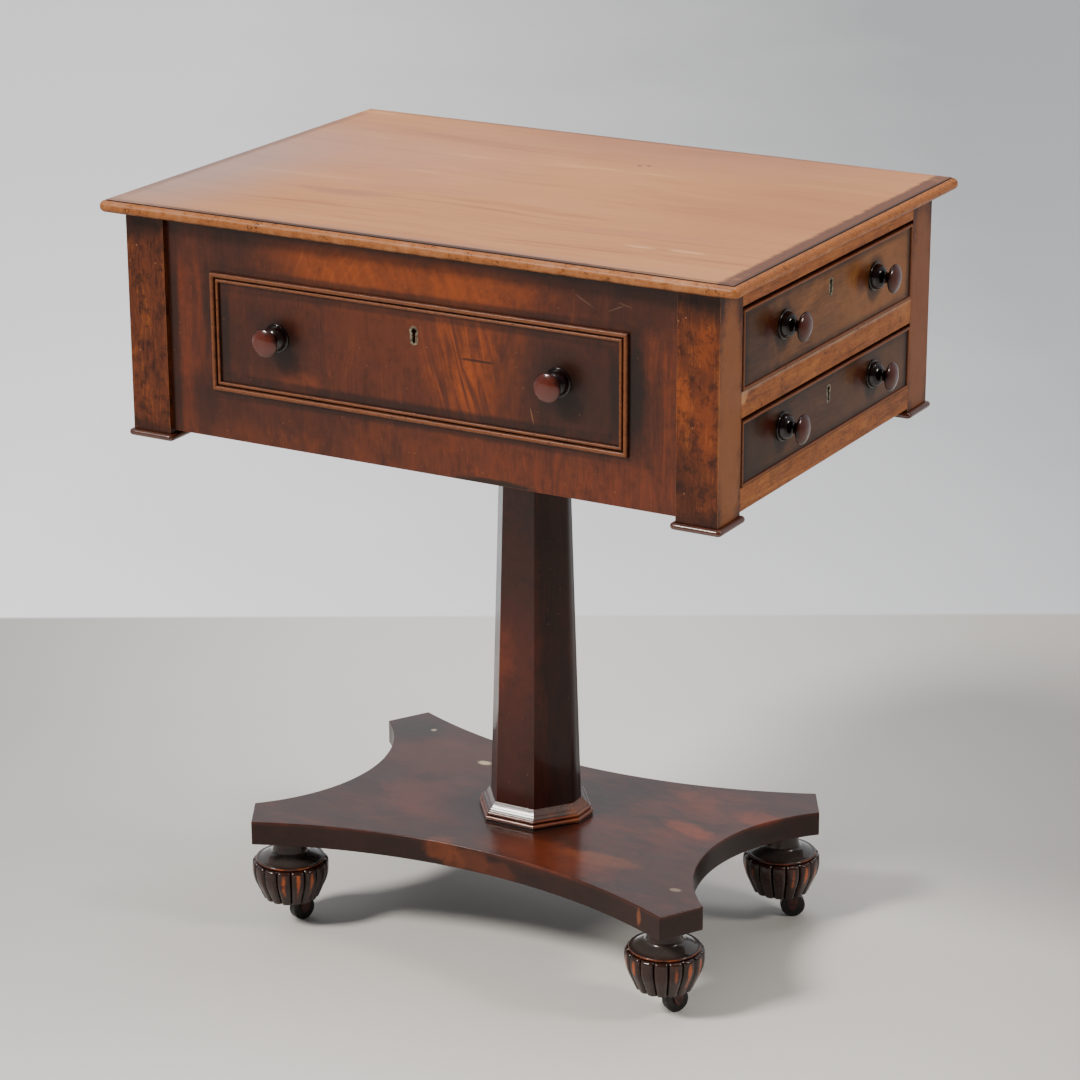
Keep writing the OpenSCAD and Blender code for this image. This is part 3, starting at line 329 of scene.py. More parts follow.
@dataclass(frozen=True)
class Wood:
    """Wood as sawn, stained and polished, with the marks of its age and painted light and shade.

    The grain comes from four layers of noise stretched along the fibres: a broad figure, the
    streaks of the growth rings, single fibres and the open pores. Fibres and pores are 0.1 to
    0.3 mm wide in the real wood and are drawn 0.7 to 1.3 mm wide, so that they show.
    """

    name: str
    dark: str
    middle: str
    light: str
    grain: Axis = Axis.X
    figure: Pair = (26.0, 90.0)
    streak: Pair = (2.4, 55.0)
    fibre_size: Pair = (1.3, 20.0)
    pore_size: Pair = (0.7, 9.0)
    sway: Pair = (70.0, 9.0)
    levels: Point = (0.34, 0.5, 0.66)
    detail: float = 4.0
    fibre: float = 0.22
    pores: float = 0.25
    specks: float = 0.0
    speck_tint: str = "#c08a5c"
    speck_gap: float = 7.0
    flecks: float = 0.0
    fleck_tint: str = "#1a0d08"
    fleck_size: float = 1.8
    roughness: float = 0.42
    smear: float = 0.22
    smear_size: float = 38.0
    ripple: float = 1.6
    specular: float = 0.25
    coat: float = 0.12
    top_coat: float = 0.0
    coat_roughness: float = 0.14
    bump: float = 0.25
    wear_tint: str = "#b8603a"
    wear: float = 0.0
    arris: float = 0.0
    arris_reach: float = 1.2
    grime_and_shade_tint: str = "#140b09"
    grime_and_shade: float = 0.0
    blotch: float = 0.0
    blotch_tint: str = "#2a120c"
    blotch_size: float = 17.0
    marks: tuple[Mark | Figure, ...] = ()
    calm: tuple[Mark, ...] = ()

    def material(self) -> Material:
        """Build the finish as a material."""
        made, sheet = blank_material(self.name)
        bent = self.bent(sheet)
        streaks = self.layer(sheet, bent, self.streak, self.detail)
        raw_pores = self.layer(sheet, bent, self.pore_size, 1.0)
        pores = sheet.add("MapRange", None, {0: raw_pores, 1: 0.56, 2: 0.7, 3: 0.0, 4: self.pores})
        colour = sheet.stained(self.grain_colour(sheet, bent, streaks), self.dark, pores)
        for mark in self.marks:
            colour = sheet.stained(colour, mark.tint, mark.mask(sheet))
        self.finish(sheet, self.aged(sheet, colour), streaks, pores)
        return made

    def bent(self, sheet: Sheet) -> Socket:
        """Object coordinates that wander as the fibres do."""
        size, reach = self.sway
        noise = {"Vector": sheet.place, "Scale": 1 / (size * MM), "Detail": 1.5}
        drift = sheet.add("TexNoise", None, noise, "Color")
        return sheet.add("VectorMath", PLUS, {0: drift, 1: (reach * MM,) * 3, 2: sheet.place})

    def layer(self, sheet: Sheet, place: Socket, size: Pair, detail: float) -> Socket:
        """Add one layer of grain.

        Args:
            sheet: The finish's nodes.
            place: Coordinates that follow the fibres.
            size: Width and length of a feature.
            detail: How many finer layers it holds.

        Returns:
            The layer's value, about one half on average.
        """
        local = sheet.add("VectorMath", TIMES, {0: place, 1: self.grain.stretched(*size)})
        noise = {"Vector": local, "Scale": 1.0, "Detail": detail, "Roughness": 0.6, "Distortion": 0.4}
        return sheet.add("TexNoise", None, noise)

    def grain_colour(self, sheet: Sheet, place: Socket, streaks: Socket) -> Socket:
        """Add the wood's own colour.

        Args:
            sheet: The finish's nodes.
            place: Coordinates that follow the fibres.
            streaks: The growth rings' layer.

        Returns:
            The colour that figure, streaks and fibres give.
        """
        low, centre, high = self.levels
        broad = self.layer(sheet, place, self.figure, 3.0)
        fibres = self.layer(sheet, place, self.fibre_size, 2.0)
        figure = sheet.add("Mix", None, {0: 0.36, 2: broad, 3: streaks})
        both = sheet.add("Mix", None, {0: self.fibre, 2: figure, 3: fibres})
        below = sheet.add("MapRange", SOFT_STEP, {0: both, 1: low, 2: centre})
        above = sheet.add("MapRange", SOFT_STEP, {0: both, 1: centre, 2: high})
        return sheet.stained(sheet.stained(linear(self.dark), self.middle, below), self.light, above)

    def aged(self, sheet: Sheet, colour: Socket) -> Socket:
        """Add what years of use leave everywhere on the surface, and the mesh's painted shade.

        Args:
            sheet: The finish's nodes.
            colour: The wood's colour so far.

        Returns:
            The colour with blotches, specks, worn arrises, flecks, and grime with painted shade.
        """
        restless: object = 1.0
        for mark in self.calm:
            restless = sheet.add("Math", {**TAKE, "use_clamp": True}, {0: restless, 1: mark.mask(sheet)})
        if self.blotch:
            noise = {"Scale": 1 / (self.blotch_size * MM), "Detail": 7.0, "Roughness": 0.72}
            raw = sheet.add("TexNoise", None, {"Vector": sheet.place, **noise})
            patches = sheet.add("MapRange", SOFT_STEP, {0: raw, 1: 0.46, 2: 0.66, 3: 0.0, 4: self.blotch})
            patches = sheet.add("Math", TIMES, {0: patches, 1: restless})
            colour = sheet.stained(colour, self.blotch_tint, patches)
        if self.specks:
            colour = sheet.stained(colour, self.speck_tint, self.speck_mask(sheet))
        if self.wear:
            rubbed = self.gathered(sheet, "wear", 1.5, (0.35, 1.0), self.wear)
            colour = sheet.stained(colour, self.wear_tint, rubbed)
        if self.arris:
            colour = sheet.stained(colour, self.wear_tint, self.arris_mask(sheet))
        if self.flecks:
            noise = {"Scale": 1 / (self.fleck_size * MM), "Detail": 3.0, "Roughness": 0.7}
            raw = sheet.add("TexNoise", None, {"Vector": sheet.place, **noise})
            dots = sheet.add("Math", PLUS, {0: sheet.uneven, 1: 0.5, 2: raw})
            dark = sheet.add("MapRange", SOFT_STEP, {0: dots, 1: 0.54, 2: 0.7, 3: 0.0, 4: self.flecks})
            dark = sheet.add("Math", TIMES, {0: dark, 1: restless})
            if self.wear:
                worn = sheet.add("Attribute", {"attribute_name": "wear"}, None, "Fac")
                there = sheet.add("Math", {**TIMES, "use_clamp": True}, {0: worn, 1: 2.0})
                dark = sheet.add("Math", TIMES, {0: dark, 1: there})
            colour = sheet.stained(colour, self.fleck_tint, dark)
        # The mesh's grime and painted shade: dark quirks, flutes, necks and undersides.
        if self.grime_and_shade:
            grime_and_shade_mask = self.gathered(sheet, "grime_and_shade", 0.7, (0.15, 0.75), self.grime_and_shade)
            colour = sheet.stained(colour, self.grime_and_shade_tint, grime_and_shade_mask)
        return colour

    def gathered(self, sheet: Sheet, layer: str, fray: float, levels: Pair, depth: float) -> Socket:
        """Build the mask of the wear, or of the grime and painted shade, that the mesh carries.

        Args:
            sheet: The finish's nodes.
            layer: Name of the mesh's attribute.
            fray: How much the uneven noise adds to it.
            levels: Where the mask begins and where it is full.
            depth: Its strength where it is full.

        Returns:
            The mask.
        """
        raw = sheet.add("Attribute", {"attribute_name": layer}, None, "Fac")
        frayed = sheet.add("Math", PLUS, {0: sheet.uneven, 1: fray, 2: raw})
        return sheet.add("MapRange", SOFT_STEP, {0: frayed, 1: levels[0], 2: levels[1], 3: 0.0, 4: depth})

    def speck_mask(self, sheet: Sheet) -> Socket:
        """Small chips and specks of wax, a few in each hand's breadth."""
        cells = {"Vector": sheet.place, "Scale": 1 / (self.speck_gap * MM)}
        cell = sheet.add("TexVoronoi", None, cells).node.outputs
        dot = sheet.add("MapRange", None, {0: cell["Distance"], 1: 0.13, 2: 0.06})
        pick = sheet.add("SeparateColor", None, {0: cell["Color"]})
        rare = sheet.add("Math", {"operation": "GREATER_THAN"}, {0: pick, 1: 0.82})
        both = sheet.add("Math", TIMES, {0: dot, 1: rare})
        return sheet.add("Math", TIMES, {0: both, 1: self.specks})

    def arris_mask(self, sheet: Sheet) -> Socket:
        """Rubbed edges: where a rounded normal leaves the true one."""
        eased = sheet.add("Bevel", {"samples": 6}, {"Radius": self.arris_reach * MM})
        true = sheet.add("NewGeometry", out="Normal")
        along = sheet.add("VectorMath", DOT, {0: eased, 1: true}, "Value")
        edge = sheet.add("MapRange", None, {0: along, 1: 0.995, 2: 0.86})
        rubbed = sheet.add("Math", PLUS, {0: sheet.uneven, 1: 1.6, 2: edge})
        return sheet.add("MapRange", SOFT_STEP, {0: rubbed, 1: 0.55, 2: 1.0, 3: 0.0, 4: self.arris})

    def coat_weight(self, sheet: Sheet) -> Socket | float:
        """Weight of the polish, which is thicker on faces that look up."""
        if not self.top_coat:
            return self.coat
        true = sheet.add("NewGeometry", out="Normal")
        upward = sheet.add("SeparateXYZ", None, {0: true}, 2)
        level = sheet.add("MapRange", None, {0: upward, 1: 0.5, 2: 0.9})
        return sheet.add("Math", PLUS, {0: level, 1: self.top_coat, 2: self.coat})

    def finish(self, sheet: Sheet, colour: Socket, streaks: Socket, pores: Socket) -> None:
        """Add the polish over the colour: gloss that varies with the grain, and a fine relief.

        Args:
            sheet: The finish's nodes.
            colour: The finished colour.
            streaks: The growth rings' layer.
            pores: The pores' mask.
        """
        noise = {"Vector": sheet.place, "Scale": 1 / (self.smear_size * MM), "Detail": 3.0}
        smear = sheet.add("TexNoise", None, noise)
        gloss = sheet.add("Math", PLUS, {0: smear, 1: self.smear, 2: self.roughness - self.smear / 2})
        ripple = sheet.add("Math", PLUS, {0: smear, 1: self.ripple, 2: streaks})
        relief = sheet.add("Math", PLUS, {0: pores, 1: -0.8, 2: ripple})
        bump = {"Height": relief, "Strength": self.bump, "Distance": 0.3 * MM}
        surface = {
            "Base Color": colour,
            "Roughness": gloss,
            "IOR": 1.5,
            "Specular IOR Level": self.specular,
            "Coat Weight": self.coat_weight(sheet),
            "Coat Roughness": self.coat_roughness,
            "Coat IOR": 1.5,
            "Normal": sheet.add("Bump", None, bump),
        }
        sheet.add("OutputMaterial", None, {"Surface": sheet.add("BsdfPrincipled", None, surface)})


@dataclass(frozen=True)
class Metal:
    """Old brass or iron: cast, filed, and left to tarnish."""

    name: str
    bright: str
    tarnish: str
    metallic: float
    roughness: float
    patch: float = 3.0
    pit: float = 0.8

    def material(self) -> Material:
        """Build the finish as a material."""
        made, sheet = blank_material(self.name)
        noise = {"Vector": sheet.place, "Scale": 1 / (self.patch * MM), "Detail": 5.0, "Roughness": 0.7}
        raw = sheet.add("TexNoise", None, noise)
        dull = sheet.add("MapRange", SOFT_STEP, {0: raw, 1: 0.35, 2: 0.65})
        noise = {"Vector": sheet.place, "Scale": 1 / (self.pit * MM), "Detail": 2.0}
        pits = sheet.add("TexNoise", None, noise)
        surface = {
            "Base Color": sheet.stained(linear(self.bright), self.tarnish, dull),
            "Roughness": sheet.add("Math", PLUS, {0: dull, 1: 0.25, 2: self.roughness}),
            "Metallic": self.metallic,
            "Normal": sheet.add("Bump", None, {"Height": pits, "Strength": 0.3, "Distance": 0.1 * MM}),
        }
        sheet.add("OutputMaterial", None, {"Surface": sheet.add("BsdfPrincipled", None, surface)})
        return made


class Shape:
    """Points and faces that make one mesh, with how worn each point is and its grime and painted shade."""

    def __init__(self) -> None:
        """Start with nothing."""
        self.points: list[np.ndarray] = []
        self.faces: list[tuple[int, ...]] = []
        self.count = 0

    def loft(self, rows: np.ndarray, ring: bool = False, loop: bool = True, caps: bool = False) -> None:
        """Skin a run of rows.

        Args:
            rows: Rows of points, each point with X, Y, Z, wear, and grime with painted shade.
            ring: Join the last row to the first.
            loop: Join each row's last point to its first.
            caps: Close the first and the last row with a face each.
        """
        number, size, _ = rows.shape
        ids = self.count + np.arange(number * size).reshape(number, size)
        for i in range(number if ring else number - 1):
            here, there = ids[i], ids[(i + 1) % number]
            for j in range(size if loop else size - 1):
                k = (j + 1) % size
                self.faces.append((int(here[j]), int(here[k]), int(there[k]), int(there[j])))
        if caps:
            self.faces.append(tuple(int(i) for i in ids[0][::-1]))
            self.faces.append(tuple(int(i) for i in ids[-1]))
        self.points.append(rows.reshape(-1, 5))
        self.count += number * size

    def dent(self, centre: Point, reach: float, push: Point) -> None:
        """Press the points round a centre, most in its middle.

        Args:
            centre: Middle of the dent.
            reach: How far it goes.
            push: Way and depth.
        """
        for rows in self.points:
            away = np.linalg.norm(rows[:, :3] - np.array(centre), axis=1) / reach
            rows[:, :3] += np.exp(-away * away)[:, None] * np.array(push)

    def piece(
        self, name: str, body: str, nodes: Sequence[str], material: Material
    ) -> bpy.types.Object:
        """Make the mesh object that stands for some nodes.

        Args:
            name: Name of the piece.
            body: Body that it rides on.
            nodes: Nodes that it replaces.
            material: Its finish.

        Returns:
            The new object.
        """
        points = np.concatenate(self.points)
        mesh = bpy.data.meshes.new(name)
        mesh.from_pydata((points[:, :3] * MM).tolist(), [], self.faces)
        for index, layer in ((3, "wear"), (4, "grime_and_shade")):
            values = mesh.attributes.new(layer, "FLOAT", "POINT").data
            values.foreach_set("value", points[:, index].astype(np.float32))
        work = bmesh.new()
        work.from_mesh(mesh)
        bmesh.ops.remove_doubles(work, verts=work.verts, dist=0.002 * MM)
        bmesh.ops.recalc_face_normals(work, faces=work.faces)
        work.to_mesh(mesh)
        work.free()
        mesh.shade_smooth()
        mesh.set_sharp_from_angle(angle=math.radians(35))
        mesh.materials.append(material)
        made = placed(name, mesh)
        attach(made, body)
        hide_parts(*nodes)
        LOG.info("%s: %d faces on %s", name, len(mesh.polygons), body)
        return made


def placed(name: str, data: bpy.types.ID) -> bpy.types.Object:
    """Put a new object with the given data into the scene."""
    made = bpy.data.objects.new(name, data)
    bpy.context.scene.collection.objects.link(made)
    return made


def ease(made: bpy.types.Object, width: float, segments: int, angle: float) -> None:
    """Ease an object's arrises, as glass paper does.

    Args:
        made: The object.
        width: How far from an arris the rounding starts.
        segments: Faces across the rounding.
        angle: Edges that bend by more than these degrees are eased.
    """
    bevel = made.modifiers.new("eased", "BEVEL")
    bevel.width = width * MM
    bevel.segments = segments
    bevel.limit_method = "ANGLE"
    bevel.angle_limit = math.radians(angle)
    made.modifiers.new("flat", "WEIGHTED_NORMAL").weight = 100


def polish(node: str, material: Material, eased: float) -> None:
    """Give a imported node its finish.

    Args:
        node: Name of the node.
        material: Its finish.
        eased: How far its arrises are eased, or nothing to leave them.
    """
    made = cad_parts[node]
    made.data.materials.clear()
    made.data.materials.append(material)
    if eased:
        made.modifiers.new("weld", "WELD").merge_threshold = 0.01 * MM
        ease(made, eased, 2, 40)
    LOG.info("%s: polished", node)


def moved(points: np.ndarray, matrix: np.ndarray) -> np.ndarray:
    """Place points with their wear, grime and painted shade by a 4x4 matrix."""
    there = points.copy()
    there[..., :3] = points[..., :3] @ matrix[:3, :3].T + matrix[:3, 3]
    return there


def eased_line(keys: Sequence[Sequence[float]], steps: int) -> np.ndarray:
    """Draw a smooth line through key points.

    Args:
        keys: Key points, with any number of values each.
        steps: Points from one key to the next.

    Returns:
        The line's points, the keys among them.
    """
    held = np.array([keys[0], *keys, keys[-1]], float)
    line = []
    for i in range(1, len(held) - 2):
        a, b, c, d = held[i - 1 : i + 3]
        for t in np.arange(steps) / steps:
            square, cube = (2 * a - 5 * b + 4 * c - d) * t**2, (3 * b - a - 3 * c + d) * t**3
            line.append(0.5 * (2 * b + (c - a) * t + square + cube))
    return np.array([*line, held[-1]])


def arc(centre: Pair, radius: float, start: float, end: float, steps: int) -> list[Pair]:
    """Points on an arc, from one angle in degrees to another."""
    turns = [math.radians(start + (end - start) * i / steps) for i in range(steps + 1)]
    return [(centre[0] + radius * math.cos(t), centre[1] + radius * math.sin(t)) for t in turns]


def bead(
    centre: Pair, radius: float, start: float, end: float, steps: int, crest: float = 1.0
) -> list[tuple[float, float, float, float]]:
    """Section of a bead that is worn most on its crest.

    Args:
        centre: Middle of its arc.
        radius: Radius of its arc.
        start: Angle in degrees where it starts.
        end: Angle where it ends.
        steps: Number of steps.
        crest: Wear of its crest.

    Returns:
        Distance, height, wear, and grime with painted shade of each point.
    """
    wears = crest * np.sin(np.linspace(0, math.pi, steps + 1))
    return [(u, h, w, 0.0) for (u, h), w in zip(arc(centre, radius, start, end, steps), wears)]


class Side(Enum):
    """A side of the case, with the way its width and its face run."""

    FRONT = ((1, 0, 0), (0, -1, 0))
    REAR = ((-1, 0, 0), (0, 1, 0))
    END = ((0, 1, 0), (1, 0, 0))
    FAR = ((0, -1, 0), (-1, 0, 0))

    def matrix(self, distance: float, across: float = 0.0, height: float = 0.0) -> np.ndarray:
        """Matrix from a drawing on the XY plane to this side.

        Args:
            distance: Of the face from the table's axis.
            across: Of the drawing's origin from the middle of the side.
            height: Of the drawing's origin over the floor.

        Returns:
            A 4x4 matrix.
        """
        wide, out = np.array(self.value[0], float), np.array(self.value[1], float)
        made = np.eye(4)
        made[:3, 0], made[:3, 1], made[:3, 2] = wide, (0, 0, 1), out
        made[:3, 3] = wide * across + out * distance + np.array((0, 0, height))
        return made


def turned(profile: np.ndarray, sides: int) -> np.ndarray:
    """Turn a profile round the Z axis.

    Args:
        profile: Radius, height, wear, and grime with painted shade of each point.
        sides: Number of rows round the axis.

    Returns:
        Rows for a ring.
    """
    rows = []
    for angle in np.arange(sides) * 2 * math.pi / sides:
        flat = np.outer(profile[:, 0], (math.cos(angle), math.sin(angle)))
        rows.append(np.column_stack((flat, profile[:, 1:])))
    return np.array(rows)


def mitred_frame(shape: Shape, profile: np.ndarray, size: Pair, matrix: np.ndarray, gap: float = 0.1) -> None:
    """Add four mitred lengths round a rectangle on the XY plane.

    Args:
        shape: The shape that gets them.
        profile: Distance in from the outer edge, height, wear, grime and painted shade of each point.
        size: Outer width and height of the frame.
        matrix: Where the frame's middle lies.
        gap: Gap of each mitre.
    """
    station_gap = 6
    for quarter in range(4):
        long, short = size if quarter % 2 == 0 else size[::-1]
        stations = np.linspace(-1, 1, max(3, int(long / station_gap)))
        reach = long / 2 - profile[:, 0] - gap
        rows = [np.column_stack((reach * s, profile[:, 0] - short / 2, profile[:, 1:])) for s in stations]
        turn = np.eye(4)
        turn[:2, :2] = np.round(np.array(Matrix.Rotation(quarter * math.pi / 2, 2)))
        shape.loft(moved(moved(np.array(rows), turn), matrix), caps=True)


def rounded_slab(shape: Shape, centre: Point, size: Point, quirk: Pair, corner: float, step: float) -> None:
    """Add a slab with half-round edges and rounded corners, under an optional quirk.

    Args:
        shape: The shape that gets it.
        centre: Middle of its underside.
        size: Length, width and thickness.
        quirk: Drop and flat of the quirk.
        corner: Radius of the corners in plan.
        step: Distance between points along the edges.
    """
    worn, corner_steps = 0.85, 6
    nose = (size[2] - quirk[0]) / 2
    rim = arc((nose, nose), nose, 90, 270, 18)
    # The fourth value paints shade: dark on the nose's lower half, which faces down, and in the quirk.
    profile = [(u, z, worn, max(0.0, z / nose - 1.7, 0.7 - 1.1 * z / nose)) for u, z in rim]
    inner = nose + quirk[1]
    if quirk[0]:
        # The flat starts inside the corners' radius, so that the top's outline can't cross itself.
        flat = min(inner + 1.6, corner - 0.1)
        lip = [(inner, size[2] - 0.25, 0.0, 1.0), (inner - 0.1, 2 * nose, 0.0, 1.0)]
        profile = [(flat, size[2], 0.0, 0.0), (inner + 0.3, size[2], 0.0, 0.5), *lip, *profile]
    profile.append((inner + 0.3, 0.0, 0.0, 0.0))
    half = (size[0] / 2 - corner, size[1] / 2 - corner)
    columns = []
    for sx, sy, start in ((1, 1, 0), (-1, 1, 90), (-1, -1, 180), (1, -1, 270)):
        for i in range(corner_steps + 1):
            turn = math.radians(start + 90 / corner_steps * i)
            columns.append((sx * half[0], sy * half[1], math.cos(turn), math.sin(turn)))
        run = 2 * (half[0] if start % 180 == 0 else half[1])
        spots = int(run / step)
        x, y, nx, ny = columns[-1]
        for i in range(1, spots):
            columns.append((x - ny * run * i / spots, y + nx * run * i / spots, nx, ny))
    rows = []
    for x, y, nx, ny in columns:
        rows.append([(x + nx * (corner - u), y + ny * (corner - u), z, w, g) for u, z, w, g in profile])
    there = np.array(rows)
    there[:, :, :3] += np.array(centre)
    first, long = shape.count, len(profile)
    shape.loft(there, ring=True, loop=False)
    shape.faces.append(tuple(first + i * long for i in range(len(rows))))
    shape.faces.append(tuple(first + i * long + long - 1 for i in range(len(rows)))[::-1])


@dataclass
class TopBoard:
    """Top board, a single width of mahogany with a thumb edge under a quirk."""

    length: float = 654.0
    width: float = 466.0
    thickness: float = 11.5
    top: float = 740.0
    quirk: Pair = (0.8, 0.6)
    corner: float = 7.0

    def marks(self) -> list[Mark | Figure]:
        """Bloom with painted sheen, stains, streaks, and the edges' dirt and painted shade, in the order they
        lie.
        """
        x, y = self.length / 2, self.width / 2
        dirt, shade_black, rim, hole = "#7c6159", "#2c1a17", "#5b4038", "#3a221b"
        # Broad clouds; the violet-grey ones at the left are a bloom with a painted sheen.
        clouds = (
            (-190, 60, 200, 160, "#a87c74", 0.32), (270, 40, 230, 260, "#96623a", 0.62),
            (40, 225, 360, 150, "#8c5e4a", 0.6), (-330, -80, 150, 320, "#93827f", 0.7),
        )
        streaks = (
            (-132, -95, 34, 10, "#9a6350", 0.45, -12), (-80, -53, 60, 9, "#a86b54", 0.35, -10),
            (-161, -97, 40, 7, "#8f5c4b", 0.35), (178, -106, 70, 9, "#a56a4c", 0.4, -8),
        )
        ripples = Mark((250, -60, 740), (100, 80, 6), "#a4653f", 0.2, 0.1, 0.95)
        # Dirt along the edges, and painted shade in the quirk at the front and at the right end.
        edges = (
            (((0, -y + 9, x, 15, dirt, 0.5),), 0.12, 0.95), (((0, -y + 8.2, x, 4.4, shade_black, 0.85),), 0.25, 0.8),
            (((x - 11, 0, 9, y, "#42251f", 0.85),), 0.5, 0.7), (((x - 6, 0, 3, y, shade_black, 0.8),), 0.25, 0.8),
            (((0, y - 6, x, 7, rim, 0.5), (-x + 7, 0, 9, y, rim, 0.5)), 0.3, 0.9),
        )
        made: list[Mark | Figure] = [*marks_on(Axis.Z, self.top, 4, clouds, 0.05, 0.95)]
        made += marks_on(Axis.Z, self.top, 4, streaks, 0.6, 0.9)
        made.append(Feather(ripples, (60, -62, 740), 17, 0.6, 5.0))
        for rows, ragged, edge in edges:
            made += marks_on(Axis.Z, self.top, 4, rows, ragged, edge, Outline.BAND)
        holes = ((43, 128, 3, 2.2, hole, 0.8), (51, 132, 3, 2.2, hole, 0.8))
        made += marks_on(Axis.Z, self.top, 3, holes, 0.2)
        scratches = ((191, -148, 10, 2.2, "#f2c898", 0.2), (233, -145, 12, 2.6, "#efc088", 0.2))
        return made + marks_on(Axis.Z, self.top, 3, scratches, 0.8)

    def finish(self) -> Wood:
        """Mahogany, hand planed and waxed, then faded by the sun.

        That gives the eye a golden tan with long soft streaks, a violet-grey bloom with a
        painted sheen at the left, darker where dirt sat along the edges, painted shade in the
        quirk, and a thumb edge rubbed to golden brown under black flecks and painted dark as
        shade on its underside.
        """
        return Wood(
            "faded_waxed_mahogany", "#8f5937", "#b0764b", "#c68f60", Axis.X,
            figure=(46.0, 420.0), streak=(6.0, 240.0), sway=(190.0, 30.0), levels=(0.24, 0.5, 0.76),
            detail=1.5, fibre=0.04, pores=0.05, roughness=0.46, specular=0.24, coat=0.06, coat_roughness=0.3,
            smear=0.06, ripple=0.2, bump=0.03, flecks=0.9, fleck_tint="#341609", wear_tint="#9a5a28",
            wear=1.0, grime_and_shade=0.95, grime_and_shade_tint="#150b09", marks=tuple(self.marks()),
        )

    def dress(self) -> None:
        """Build the board, press small dents into its edge and polish it."""
        shape = Shape()
        base = (0.0, 0.0, self.top - self.thickness)
        size = (self.length, self.width, self.thickness)
        rounded_slab(shape, base, size, self.quirk, self.corner, 5.0)
        chance = random.Random(11)
        y, z = -self.width / 2, self.top - self.thickness / 2
        for _ in range(26):
            spot = (chance.uniform(-310, 318), y, z + chance.uniform(-3, 3))
            shape.dent(spot, chance.uniform(2.5, 7), (0, chance.uniform(0.15, 0.5), 0))
        for x in (-142, -105):
            shape.dent((x, y, z + 2), 4, (0, 1.1, 0))
        for _ in range(16):
            spot = (self.length / 2, chance.uniform(-220, 225), z + chance.uniform(-3, 3))
            shape.dent(spot, chance.uniform(2.5, 7), (-chance.uniform(0.15, 0.6), 0, 0))
        shape.piece("top_board_waxed", "case", ["top_board"], self.finish().material())


